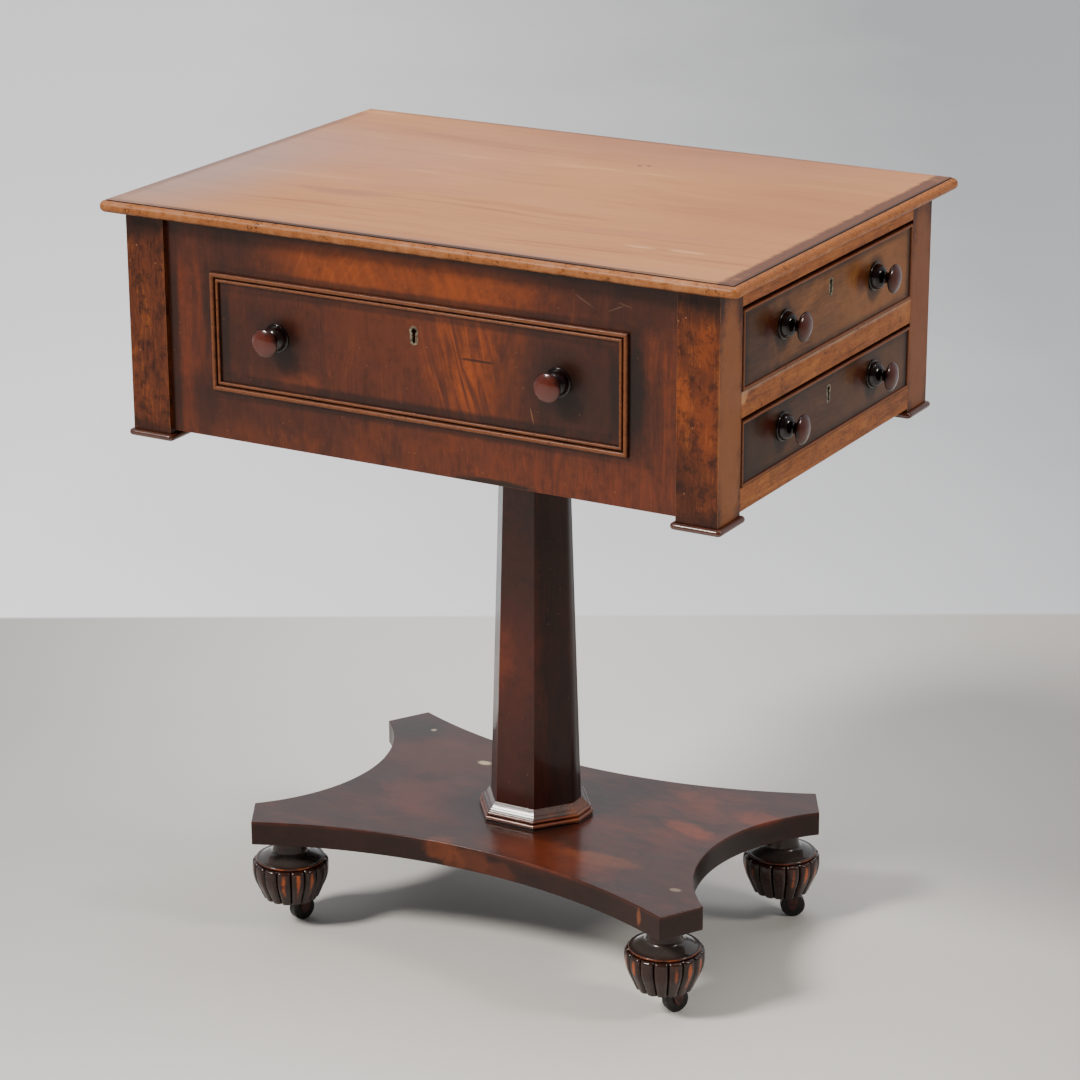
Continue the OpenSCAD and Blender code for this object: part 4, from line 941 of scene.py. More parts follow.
@dataclass
class Case:
    """Posts, pads, panels, rails and the framed long sides."""

    half_length: float = 305.0
    half_width: float = 219.0
    post: Pair = (41.0, 42.0)
    pad: Point = (50.0, 51.0, 6.0)
    pad_base: float = 515.5
    face: float = 214.0
    frame_size: Pair = (432.0, 111.5)
    frame_middle: float = 626.75

    def post_finish(self) -> Wood:
        """Mahogany, sawn, scraped and French polished, rubbed through in places.

        That gives the eye a mottled orange-brown with dark blotches, worn to plain brown on the
        ends, a speckled pale arris, painted shadow at the heads under the top, and darker feet.
        """
        x, y = self.half_length, self.half_width
        corners = [(sx * x, sy * y) for sx in (-1, 1) for sy in (-1, 1)]
        # Painted shadow at each post's head under the top's overhang, then a darker foot over its pad.
        marks = [Mark((a, b, 722), (70, 70, 20), "#170b08", 0.75, 0.3, 0.95) for a, b in corners]
        marks += [Mark((a, b, 519), (70, 70, 14), "#1d0e09", 0.6, 0.4, 0.9) for a, b in corners]
        ends = ((-199, 610, 22, 110, "#875026", 0.85), (199, 610, 22, 110, "#7c4822", 0.85))
        marks += marks_on(Axis.X, x, 2.5, ends, 0.3, 0.5)
        rubbed = (
            (268, 632, 9, 22, "#9a4a18", 0.6), (292, 609, 10, 34, "#7f3a15", 0.55),
            (291, 680, 9, 18, "#8d4216", 0.55),
        )
        marks += marks_on(Axis.Y, -y, 3, rubbed, 0.5, 0.9)
        marks += marks_on(Axis.Y, -y, 3, ((278, 560, 12, 30, "#3a170b", 0.6),), 0.6, 0.9)
        plain = ((-199, 615, 22, 120, "#ffffff", 0.85), (199, 615, 22, 120, "#ffffff", 0.85))
        return Wood(
            "polished_mahogany_posts", "#36160b", "#602d15", "#8c481b", Axis.Z,
            figure=(13.0, 46.0), streak=(2.2, 30.0), sway=(40.0, 9.0), fibre=0.3, pores=0.4,
            blotch=0.75, blotch_tint="#240f08", blotch_size=13.0, specks=0.5, flecks=0.35,
            roughness=0.42, specular=0.18, coat=0.08, wear_tint="#b4794c", arris=0.8, arris_reach=1.1,
            marks=tuple(marks), calm=tuple(marks_on(Axis.X, x, 2.5, plain, 0.2, 0.5)),
        )

    def pad_finish(self) -> Wood:
        """Mahogany, planed round and French polished: glossy, with a rubbed orange edge."""
        return Wood(
            "polished_mahogany_pads", "#160907", "#29110b", "#421d12", Axis.X, roughness=0.3, specular=0.4,
            coat=0.6, coat_roughness=0.1, wear_tint="#7c3c22", wear=0.35, flecks=0.5,
        )

    def flames(self) -> list[Mark | Figure]:
        """Orange flames and glowing places of the panels' crotch figure."""
        y, deep = -self.face, 20

        def area(
            x: float, z: float, wide: float, high: float, tint: str, depth: float, fray: float = 0.5
        ) -> Mark:
            """Soft area of the panel."""
            return Mark((x, y, z), (wide, deep, high), tint, depth, fray, 0.9)

        return [
            *marks_on(Axis.Y, y, deep, ((-20, 703, 120, 30, "#93430f", 0.8),), 0.5, 0.95),
            *marks_on(Axis.Y, y, deep, ((-15, 655, 70, 44, "#6b2f12", 0.35),), 0.4, 0.95),
            Flame(area(48, 632, 36, 62, "#9c4711", 0.8, 0.4), 9, 80, 14),
            Flame(area(92, 645, 30, 52, "#7e3812", 0.55, 0.4), 10, 80, -10),
            Feather(area(-84, 704, 40, 22, "#a85a22", 0.22, 0.6), (0, y, 650), 9, 0.22, 9.0),
            Flame(area(-20, 703, 110, 26, "#5e280d", 0.4), 10, 60, 24),
            Flame(area(-236, 612, 24, 110, "#7c3210", 0.5), 8, 110, 0),
            Flame(area(242, 620, 20, 60, "#8a3d12", 0.45), 7, 90, 0, 0.4, 0.7),
            Flame(area(-60, 545, 170, 26, "#74340f", 0.4), 12, 40, 10),
            *marks_on(Axis.Y, y, deep, ((-170, 560, 110, 24, "#2e130b", 0.5),), 0.4, 0.95),
            Flame(area(150, 545, 110, 26, "#7a3414", 0.5), 9, 40, 0),
            *marks_on(Axis.Y, y, 12, ((-122, 590, 18, 9, "#93431a", 0.4),), 0.6, 0.9),
        ]

    def shade(self) -> list[Mark]:
        """Painted shadows of the top, the knobs and a post, shade round the frame, and dark patches."""
        shade_black, dim = "#100806", "#2b130c"
        x, z, mid = self.frame_size[0] / 2, self.frame_size[1] / 2, self.frame_middle
        band = Outline.BAND
        groups = (
            # Painted shadow of the top's overhang.
            (((0, 738, 330, 24, shade_black, 0.95),), 0.2, 0.95, band),
            (((0, 732, 330, 12, "#080403", 0.9),), 0.15, 0.9, band),
            # Dark patches round the knobs, then the knobs' painted shadows below and to their right.
            (((-165, mid - 2, 70, 50, dim, 0.6), (168, mid - 4, 84, 56, "#28140e", 0.75)), 0.35, 0.95),
            (((-143, mid - 2, 25, 23, shade_black, 0.75), (151, mid - 4, 26, 24, shade_black, 0.75)), 0.3, 0.9),
            # Painted shade beside the frame, deepest at its right.
            (((-x - 4, mid + 30, 7, 40, shade_black, 0.6),), 0.3, 0.9),
            (((x + 5, mid + 6, 13, 66, shade_black, 0.85),), 0.25, 0.9),
            # Painted shade along the frame outside and inside it, and the left post's painted shadow line.
            (
                (
                    (0, mid + z + 2, x, 5, shade_black, 0.6), (0, mid - z - 2, x, 5, shade_black, 0.6),
                    (0, mid - z + 12, x - 9, 6, shade_black, 0.7), (0, mid + z - 12, x - 9, 5, shade_black, 0.55),
                    (-x + 13, mid, 7, z - 4, shade_black, 0.7), (x - 13, mid, 7, z - 4, shade_black, 0.6),
                    (-258, 610, 6, 110, shade_black, 0.7),
                ),
                0.3, 0.9, band,
            ),
            # Darker patches high on the panel and at its lower left.
            (((-200, 700, 70, 20, dim, 0.5), (215, 705, 60, 22, dim, 0.6)), 0.4, 0.95),
            (((-225, 555, 14, 30, dim, 0.6),), 0.5, 0.95),
        )
        return [mark for group in groups for mark in marks_on(Axis.Y, -self.face, 12, *group)]

    def nicks(self) -> list[Mark]:
        """Scratches, nicks and chips of the long sides."""
        pale, y = "#8f7156", -self.face
        return [
            *marks_on(Axis.Y, y, 6, (
                (64, 636.5, 14, 1.1, "#170b08", 0.75), (172, 705, 9, 0.6, pale, 0.22, -28),
                (203, 702, 7, 0.6, pale, 0.22, 24), (212, 706, 6, 0.6, pale, 0.2, -14),
                (-24, 681, 0.9, 9, "#3a1508", 0.5, 20),
            ), 0.5),
            *marks_on(Axis.Y, y, 6, ((120, 594, 0.6, 7, "#a0764e", 0.35, 14),), 0.4),
            *marks_on(Axis.Y, y, 6, ((-208, 576, 3, 3, "#a99a88", 0.5),), 0.6),
            *marks_on(Axis.Y, y, 6, ((82, 526, 34, 3.4, "#14120c", 0.85),), 0.5),
        ]

    def panel_finish(self) -> Wood:
        """Crotch mahogany veneer, laid with its figure upright and French polished.

        That gives the eye deep red-brown with orange flames above and beside the keyhole, and
        painted shade under the top, round the frame, by the left post and round the knobs, with
        the knobs' shadows painted too.
        """
        return Wood(
            "crotch_mahogany_panels", "#3c180c", "#532413", "#6b3013", Axis.Z,
            figure=(26.0, 80.0), streak=(3.4, 50.0), sway=(60.0, 12.0), fibre=0.26, pores=0.3,
            blotch=0.35, blotch_tint="#241009", specks=0.35, speck_tint="#94623f", roughness=0.42, coat=0.1,
            coat_roughness=0.2, bump=0.3, arris=0.35, arris_reach=0.9,
            marks=(*self.flames(), *self.shade(), *self.nicks()),
        )

    def rail_finish(self) -> Wood:
        """Mahogany, planed, oiled and waxed, bleached by the light from the window.

        That gives the eye a dry golden brown with pale and dark flecks, and the wax rubbed off
        the arrises.
        """
        x = self.half_length
        marks = (
            Mark((x, -176, 629), (8, 9, 6), "#c08a5c", 0.8, 0.6),
            Mark((x, 0, 634), (8, 176, 2.6), "#9a8a7c", 0.5, 0.9, 0.8, Outline.BAND),
            Mark((x, 165, 626), (8, 20, 8), "#b0703a", 0.5, 0.5),
        )
        return Wood(
            "waxed_mahogany_rails", "#65361a", "#955628", "#b37134", Axis.Y,
            figure=(11.0, 110.0), streak=(2.2, 60.0), sway=(60.0, 6.0), fibre=0.3, pores=0.4,
            specks=0.5, flecks=0.75, fleck_tint="#3a1c0c", blotch=0.3, blotch_tint="#4a2410", roughness=0.46,
            specular=0.16, coat=0.06, wear_tint="#b98a5c", arris=0.6, arris_reach=1.1, marks=marks,
        )

    def trim_finish(self) -> Wood:
        """Mahogany beads, scratched with a scraper and French polished.

        The crests are rubbed to warm brown wood, and the quirks are painted near black as shade.
        """
        return Wood(
            "scratch_beaded_mahogany", "#2a110a", "#4a2212", "#66321a", Axis.X,
            figure=(9.0, 26.0), streak=(1.6, 18.0), roughness=0.42, specular=0.2, coat=0.12,
            coat_roughness=0.16, wear_tint="#844c29", wear=0.75, flecks=0.8, fleck_tint="#180b07",
            grime_and_shade=1.0, grime_and_shade_tint="#080403",
        )

    def bead_profile(self) -> np.ndarray:
        """Section of the double bead: the outer one wide, the inner one narrow."""
        outer, inner = bead((2.3, 1.6), 2.3, 190, -20, 14), bead((7.4, 1.2), 1.6, 195, -10, 10)
        # The last value paints shade in the quirk and along the frame's edges.
        quirk = [(4.9, 0.3, 0.0, 1.3), (5.5, 0.3, 0.0, 1.3)]
        base = [(9.0, -0.4, 0.0, 1.0), (0.0, -0.4, 0.0, 1.0)]
        return np.array([(0.0, 0.2, 0.0, 1.0), *outer, *quirk, *inner, *base])

    def cockbead_profile(self) -> np.ndarray:
        """Section of a cockbead, half round at its front."""
        nose = bead((1.5, 0.0), 1.5, 180, 0, 10, 1.15)
        # The last value paints shade on the back of the bead, in its gap.
        return np.array([(0.0, -5.0, 0.0, 1.2), *nose, (3.0, -5.0, 0.0, 1.2)])

    def dress_moulding(self) -> None:
        """Build the mitred frames of both long sides."""
        finish = self.trim_finish().material()
        for side, name in ((Side.FRONT, "front_moulding"), (Side.REAR, "rear_moulding")):
            shape = Shape()
            place = side.matrix(self.face, 0.0, self.frame_middle)
            mitred_frame(shape, self.bead_profile(), self.frame_size, place)
            shape.piece(name + "_beaded", "case", [name], finish)

    def dress_pads(self) -> None:
        """Build the four pads under the posts."""
        shape = Shape()
        x, y = self.half_length - self.post[0] / 2, self.half_width - self.post[1] / 2
        for sx, sy in ((-1, -1), (1, -1), (1, 1), (-1, 1)):
            rounded_slab(shape, (sx * x, sy * y, self.pad_base), self.pad, (0.0, 0.4), 4.5, 4.0)
        shape.piece("post_pads_rounded", "case", ["post_pads"], self.pad_finish().material())

    def dress(self) -> None:
        """Dress the whole case."""
        self.dress_pads()
        self.dress_moulding()
        polish("corner_posts", self.post_finish().material(), 0.7)
        panels = self.panel_finish().material()
        for name in ("front_panel", "rear_panel"):
            polish(name, panels, 0.5)
        rails = self.rail_finish().material()
        for name in ("top_rail", "middle_rail", "bottom_rail", "far_end_panel"):
            polish(name, rails, 0.6)


@dataclass
class Knobs:
    """Turned knobs with a stepped collar, a hollow neck and a flattened head."""

    height: float = 24.5
    collar: float = 13.5
    neck: float = 5.0
    head: float = 13.5
    spigot: float = 5.0
    sides: int = 56

    def profile(self, depth: float) -> np.ndarray:
        """Radius, height, wear, and grime with painted shade, from the spigot's end to the head's middle.

        Args:
            depth: Length of the spigot.

        Returns:
            The points of the profile.
        """
        collar, neck, head = self.collar, self.neck, self.head
        spigot = [(0.0, -depth, 0, 0), (self.spigot, -depth, 0, 0), (self.spigot, 0.0, 0, 0)]
        body = [
            # The fourth value paints shade at the collar's foot, under its step and in the neck.
            (collar, 0.0, 0, 1), (collar, 0.9, 0, 0.2), (collar - 0.5, 1.6, 0, 0),
            (collar - 1.6, 1.9, 0, 0.8), (collar - 1.5, 2.6, 0, 0), (collar - 1.7, 3.6, 0, 0),
            (collar - 2.3, 5.4, 0, 0), (collar - 3.6, 7.6, 0, 0), (collar - 5.6, 9.3, 0, 0),
            (neck + 1.2, 10.4, 0, 0.3), (neck + 0.1, 11.6, 0, 0.8), (neck, 13.0, 0, 0.8),
            (neck + 0.6, 14.6, 0, 0.6), (neck + 2.6, 16.0, 0, 0.2), (head - 3.0, 17.1, 0, 0),
            (head - 0.9, 18.1, 0, 0), (head, 19.5, 0.5, 0), (head - 0.7, 20.9, 0.7, 0),
            (head - 3.2, 22.4, 0.9, 0), (head - 7.0, 23.8, 1.1, 0), (head - 10.5, 24.4, 1.3, 0),
            (0.0, self.height, 1.4, 0),
        ]
        return np.concatenate((np.array([*spigot, body[0]]), eased_line(body, 3)))

    def finish(self, name: str, worn: float) -> Wood:
        """Mahogany turned on the lathe, stained nearly black and French polished.

        It gives the eye a black gloss with sharp highlights, rubbed red-brown on the head by
        fingers, and painted shade under the collar and in the neck.
        fingers.

        Args:
            name: Name of the finish.
            worn: How much the head is rubbed.

        Returns:
            The finish.
        """
        return Wood(
            name, "#0c0504", "#160807", "#280f0a", Axis.Z, figure=(8.0, 8.0), streak=(1.0, 9.0),
            pores=0.1, roughness=0.25, specular=0.2, coat=0.5, coat_roughness=0.06, bump=0.08,
            wear_tint="#5c261b", wear=worn, grime_and_shade=0.9, grime_and_shade_tint="#040202",
        )

    def dress(
        self, name: str, body: str, node: str, spots: Sequence[tuple[np.ndarray, float]], material: Material
    ) -> None:
        """Build a group of knobs.

        Args:
            name: Name of the piece.
            body: Body that they ride on.
            node: Node that they replace.
            spots: Where each stands, and the length of its spigot.
            material: Their finish.
        """
        shape = Shape()
        for matrix, depth in spots:
            shape.loft(moved(turned(self.profile(depth), self.sides), matrix), ring=True, loop=False)
        shape.piece(name, body, [node], material)


@dataclass(frozen=True)
class DrawerTone:
    """Colours of one drawer front: dark, middle and light grain, and the patch at its right."""

    dark: str
    middle: str
    light: str
    patch: str


@dataclass
class Drawer:
    """One drawer of the right-hand end."""

    name: str
    floor: float
    height: float
    knob_height: float
    tone: DrawerTone
    width: float = 351.0
    face: float = 304.5
    pitch: float = 188.0
    knob_depth: float = 20.0

    @property
    def middle(self) -> float:
        """Height of the front's middle."""
        return self.floor + 0.5 + self.height / 2

    def finish(self) -> Wood:
        """Mahogany drawer front, planed and French polished many times over.

        That gives the eye a darker, glossier olive brown than the rails, with painted shade
        round the edges and the knobs, and a painted reflection of each knob beside it.
        """
        shade_black, x, y, z = "#0f0806", 304, self.pitch / 2, self.knob_height
        groups = [
            (((110, self.middle - 4, 80, 44, self.tone.patch, 0.6),), 0.5, 0.95),
            (((-165, self.middle, 60, 60, "#2c1a10", 0.7),), 0.4, 0.95),
            # Painted reflection of each knob in the polish, beside it.
            ([(side * y - 27, z + 4, 15, 13, "#3a0f08", 0.75) for side in (-1, 1)], 0.4, 0.9),
            # Painted shade round each knob.
            ([(side * y, z, 19, 19, shade_black, 0.75) for side in (-1, 1)], 0.3, 0.7),
        ]
        # Painted shade along the front's ends and edges, beside the cockbeads.
        for side in (-1, 1):
            end = (side * self.width / 2, self.middle, 12, 60, shade_black, 0.8)
            edge = (0, self.middle + side * self.height / 2, 190, 8, shade_black, 0.7)
            groups.append(((end, edge), 0.3, 0.95, Outline.BAND))
        return Wood(
            self.name + "_polished_drawer_front", self.tone.dark, self.tone.middle, self.tone.light, Axis.Y,
            figure=(16.0, 70.0), streak=(2.4, 46.0), sway=(50.0, 8.0), pores=0.25, specks=0.4,
            blotch=0.2, roughness=0.38, specular=0.12, coat=0.12, coat_roughness=0.1, bump=0.14, arris=0.2,
            marks=tuple(mark for group in groups for mark in marks_on(Axis.X, x, 10, *group)),
        )

    def dress(
        self, case: Case, knobs: Knobs, knob_finish: Material, trim: Material, lining: Material
    ) -> None:
        """Dress the drawer.

        Args:
            case: The case, for the section of the cockbead.
            knobs: The pattern of its knobs.
            knob_finish: The knobs' finish.
            trim: The cockbeads' finish.
            lining: The finish of the sides, back and bottom.
        """
        body = self.name + "_drawer"
        polish(self.name + "_front", self.finish().material(), 0.4)
        for part in ("sides", "back", "bottom"):
            polish(f"{self.name}_{part}", lining, 0.4)
        shape = Shape()
        place = Side.END.matrix(self.face, 0.0, self.middle)
        mitred_frame(shape, case.cockbead_profile(), (self.width, self.height), place)
        beads = self.name + "_cockbeads"
        shape.piece(beads + "_rounded", body, [beads], trim)
        places = [Side.END.matrix(self.face, side * self.pitch / 2, self.knob_height) for side in (-1, 1)]
        spots = [(place, self.knob_depth) for place in places]
        knobs.dress(self.name + "_knobs_turned", body, self.name + "_knobs", spots, knob_finish)


@dataclass
class FarEnd:
    """Far end, with two sham drawer fronts."""

    face: float = 304.5
    width: float = 351.0
    rows: tuple[Pair, ...] = ((633.0, 72.0), (546.5, 59.5))

    def dress(self, case: Case, front: Material, trim: Material) -> None:
        """Dress the sham fronts and their cockbeads.

        Args:
            case: The case, for the section of the cockbead.
            front: The sham fronts' finish.
            trim: The cockbeads' finish.
        """
        polish("sham_fronts", front, 0.4)
        shape = Shape()
        for low, height in self.rows:
            place = Side.FAR.matrix(self.face, 0.0, low + height / 2)
            mitred_frame(shape, case.cockbead_profile(), (self.width, height), place)
        shape.piece("sham_cockbeads_rounded", "case", ["sham_cockbeads"], trim)


@dataclass
class Pillar:
    """Tapered octagonal pillar with a mitred moulding round its foot."""

    base: float = 118.5
    angle: float = 37.8
    foot: Point = (45.5, 41.4, 42.15)
    gap: float = 0.1

    def finish(self) -> Wood:
        """Mahogany, planed to eight sides, stained dark and French polished.

        That gives the eye faces nearly black that mirror the room, arrises rubbed to a thin
        orange-red line, and a painted shadow of the case at the pillar's head.
        """
        marks = (
            Mark((-8, -40, 330), (34, 12, 130), "#54200f", 0.6, 0.6, 0.95),
            Mark((-18, -40, 290), (14, 12, 30), "#6d2c12", 0.5, 0.6, 0.95),
            Mark((-12, -40, 170), (34, 12, 60), "#3c140b", 0.6, 0.6, 0.9),
            # Painted shadow of the case on the pillar's head.
            Mark((0, 0, 520), (60, 60, 70), "#0d0605", 0.8, 0.3, 0.95),
        )
        return Wood(
            "dark_polished_mahogany_pillar", "#1a0906", "#2a0f09", "#40180d", Axis.Z,
            figure=(18.0, 110.0), streak=(2.6, 80.0), sway=(50.0, 7.0), pores=0.15, specks=0.3,
            speck_tint="#9c5b3a", blotch=0.3, blotch_tint="#150806", roughness=0.32, specular=0.2,
            coat=0.2, coat_roughness=0.08, bump=0.08, wear_tint="#8f3312", arris=0.9, arris_reach=0.9,
            marks=marks,
        )

    def moulding_finish(self) -> Wood:
        """Mahogany moulding, stuck with a plane and French polished, worn on its beads, shade painted in its
        quirks.
        """
        return Wood(
            "polished_mahogany_foot_moulding", "#1f0d08", "#371710", "#552514", Axis.X,
            figure=(8.0, 24.0), streak=(1.2, 16.0), roughness=0.28, specular=0.4, coat=0.8,
            coat_roughness=0.1, wear_tint="#7c3c20", wear=0.6, grime_and_shade=1.0, grime_and_shade_tint="#050303",
            marks=(Mark((62, 0, 128), (16, 30, 20), "#8a4a24", 0.7, 0.5, 0.9),),
        )

    def corner(self, face: int, out: float) -> Pair:
        """Corner between a face and the next one, with both moved out.

        Args:
            face: Number of the face, from the one that looks along +X.
            out: How far the faces are moved out.

        Returns:
            X and Y of the corner.
        """
        turn = [0, self.angle, 90, 180 - self.angle]
        turn += [180 + t for t in turn]
        size = [self.foot[0], self.foot[2], self.foot[1], self.foot[2]] * 2
        a, b = math.radians(turn[face % 8]), math.radians(turn[(face + 1) % 8])
        da, db = size[face % 8] + out, size[(face + 1) % 8] + out
        spread = math.sin(b - a)
        return (da * math.sin(b) - db * math.sin(a)) / spread, (db * math.cos(a) - da * math.cos(b)) / spread

    def section(self) -> list[tuple[float, float, float, float]]:
        """Distance out, height, wear, and grime with painted shade, of the moulding's section."""
        # The last value paints shade at the foot, in the quirks and against the pillar.
        low, high = bead((8.7, 3.3), 2.3, -65, 120, 10), bead((7.6, 7.7), 1.7, -55, 110, 8)
        slope = [
            (6.6, 9.7, 0, 0.7), (6.3, 10.6, 0.4, 0), (4.7, 12.2, 0, 0), (3.0, 14.4, 0, 0), (1.7, 16.6, 0, 0),
            (0.9, 17.8, 0.5, 0),
        ]
        base = [(-2.0, 0, 0, 0), (10.6, 0, 0, 1.2), (10.6, 0.9, 0, 1)]
        return [*base, *low, *high, *slope, (-3.5, 17.9, 0, 1)]

    def end_row(self, face: int, side: int) -> np.ndarray:
        """Mitred end of one length of the moulding.

        Args:
            face: Number of the face that the length lies on.
            side: Nought for its first end, one for its last.

        Returns:
            The section's points, moved in by the gap.
        """
        number = face - 1 + side
        row = []
        for out, high, wear, grime_and_shade in self.section():
            here = np.array(self.corner(number, out))
            way = np.array(self.corner(face - side, out)) - here
            inward = self.gap * way / max(1e-6, float(np.linalg.norm(way)))
            row.append((*(here + inward), self.base + high, wear, grime_and_shade))
        return np.array(row)

    def dress(self) -> None:
        """Dress the pillar and build the eight lengths of its moulding."""
        polish("pillar", self.finish().material(), 0.8)
        shape = Shape()
        for face in range(8):
            first, last = self.end_row(face, 0), self.end_row(face, 1)
            shape.loft(np.array([first + (last - first) * t for t in np.linspace(0, 1, 7)]), caps=True)
        finish = self.moulding_finish().material()
        shape.piece("pillar_moulding_mitred", "case", ["pillar_moulding"], finish)


@dataclass
class Plinth:
    """Plinth with four concave sides, sawn from thick board and veneered."""

    length: float = 496.0
    width: float = 332.0
    under: float = 94.5
    thickness: float = 24.0
    cut: Pair = (23.5, 41.5)
    hollow: Pair = (50.0, 53.0)

    def marks(self) -> list[Mark | Figure]:
        """Flames, dark patches, darker edges with painted shade at the right end, and chips, in the order
        they lie.
        """
        pale, level, rust, brown = "#c9b797", 118, "#7c351c", "#6d2a18"
        made: list[Mark | Figure] = [
            Flame(Mark((110, 60, level), (120, 110, 14), "#6a2813", 0.5, 0.4, 0.95), 20, 60, 80)
        ]
        made += marks_on(Axis.Z, level, 10, (
            (132, 95, 26, 13, rust, 0.35, 30), (103, 108, 22, 10, rust, 0.35, 30),
            (205, 80, 20, 14, "#8a3a1c", 0.4), (157, 25, 26, 10, "#93401d", 0.5, 20),
            (60, -92, 66, 26, "#843613", 0.45, 14),
            (115, -78, 34, 12, "#8f4a1f", 0.35), (-71, -46, 60, 26, brown, 0.6), (-79, 6, 34, 20, brown, 0.5),
            (-123, -18, 34, 20, "#6a2c1c", 0.5), (-150, 70, 60, 40, "#5c2417", 0.4),
        ), 0.6, 0.95)
        made += marks_on(Axis.Z, level, 10, ((-212, 118, 32, 32, "#1a0f0d", 0.75),), 0.4, 0.9)
        made += marks_on(Axis.Z, level, 6, ((-20, -16, 84, 72, "#0d0706", 0.75),), 0.3, 0.8)
        chips = ((-102, 74, 7, 5, pale, 0.95), (-193, 125, 3, 3, pale, 0.8))
        made += marks_on(Axis.Z, self.under + self.thickness, 3, chips, 0.3)
        made += marks_on(Axis.Z, self.under + self.thickness, 3, ((209, -105, 5, 3, pale, 0.35),), 0.5)
        made += [
            # The edge faces darker than the top, and the right end's edge darker still as painted shade.
            Mark((0, 0, 104), (300, 300, 12.4), "#170a07", 0.72, 0.08, 0.25, Outline.BAND),
            Mark((210, 0, 106), (46, 110, 11.6), "#0d0605", 0.6, 0.1, 0.4),
            Mark((-40, -118, 111), (11, 12, 7), "#8a421c", 0.4, 1.0, 0.9),
        ]
        rubbed = ((-24, 103, 8, 8, "#7a3a1a", 0.35), (-4, 106, 12, 7, "#7a3a1a", 0.35))
        made += marks_on(Axis.Y, -116, 12, rubbed, 1.0, 0.9)
        made += marks_on(Axis.Y, -118, 12, ((24, 101, 14, 6, "#6a301a", 0.35),), 1.0, 0.9)
        return made + marks_on(Axis.Y, -160, 8, ((196, 108, 2.4, 9, "#8f5030", 0.55),), 0.6)

    def finish(self) -> Wood:
        """Mahogany, sawn to its hollows, stained and French polished.

        That gives the eye a dark red-brown with a grey sheen far off, orange flames in front
        of the pillar and on the right arm, and a thin orange line along its arrises.
        """
        return Wood(
            "dark_polished_mahogany_plinth", "#28110b", "#3d1a11", "#532314", Axis.X,
            figure=(24.0, 60.0), streak=(3.0, 46.0), sway=(60.0, 14.0), pores=0.15,
            blotch=0.25, blotch_tint="#1a0a07", roughness=0.36, specular=0.22, coat=0.1, top_coat=0.9,
            coat_roughness=0.2, bump=0.16, wear_tint="#a84a26", arris=0.85, arris_reach=1.2,
            marks=tuple(self.marks()),
        )

    def outline(self) -> list[Pair]:
        """Plan of the plinth, from the front left arm round by the right."""
        x, y = self.length / 2, self.width / 2
        cx, cy = x - self.cut[0], y - self.cut[1]
        half = self.sunk(cx, self.hollow[0], 64, lambda a, d: (a, -y + d))
        half += self.sunk(cy, self.hollow[1], 40, lambda a, d: (x - d, a))
        return half + [(-px, -py) for px, py in half]

    def sunk(
        self, half: float, depth: float, steps: int, place: Callable[[float, float], Pair]
    ) -> list[Pair]:
        """Points of a hollow side.

        Args:
            half: Half of its chord.
            depth: Depth of the hollow.
            steps: Number of steps.
            place: Function from a place on the chord and its depth to X and Y.

        Returns:
            The points, both ends among them.
        """
        radius = (half * half + depth * depth) / (2 * depth)
        reach = math.asin(half / radius)
        turns = [reach * (2 * i / steps - 1) for i in range(steps + 1)]
        return [place(radius * math.sin(t), depth - radius * (1 - math.cos(t))) for t in turns]

    def dress(self) -> None:
        """Build the plinth."""
        shape = Shape()
        levels = (self.under, self.under + self.thickness)
        shape.loft(np.array([[(x, y, z, 0.0, 0.0) for x, y in self.outline()] for z in levels]), caps=True)
        made = shape.piece("plinth_veneered", "case", ["plinth"], self.finish().material())
        ease(made, 0.9, 3, 30)


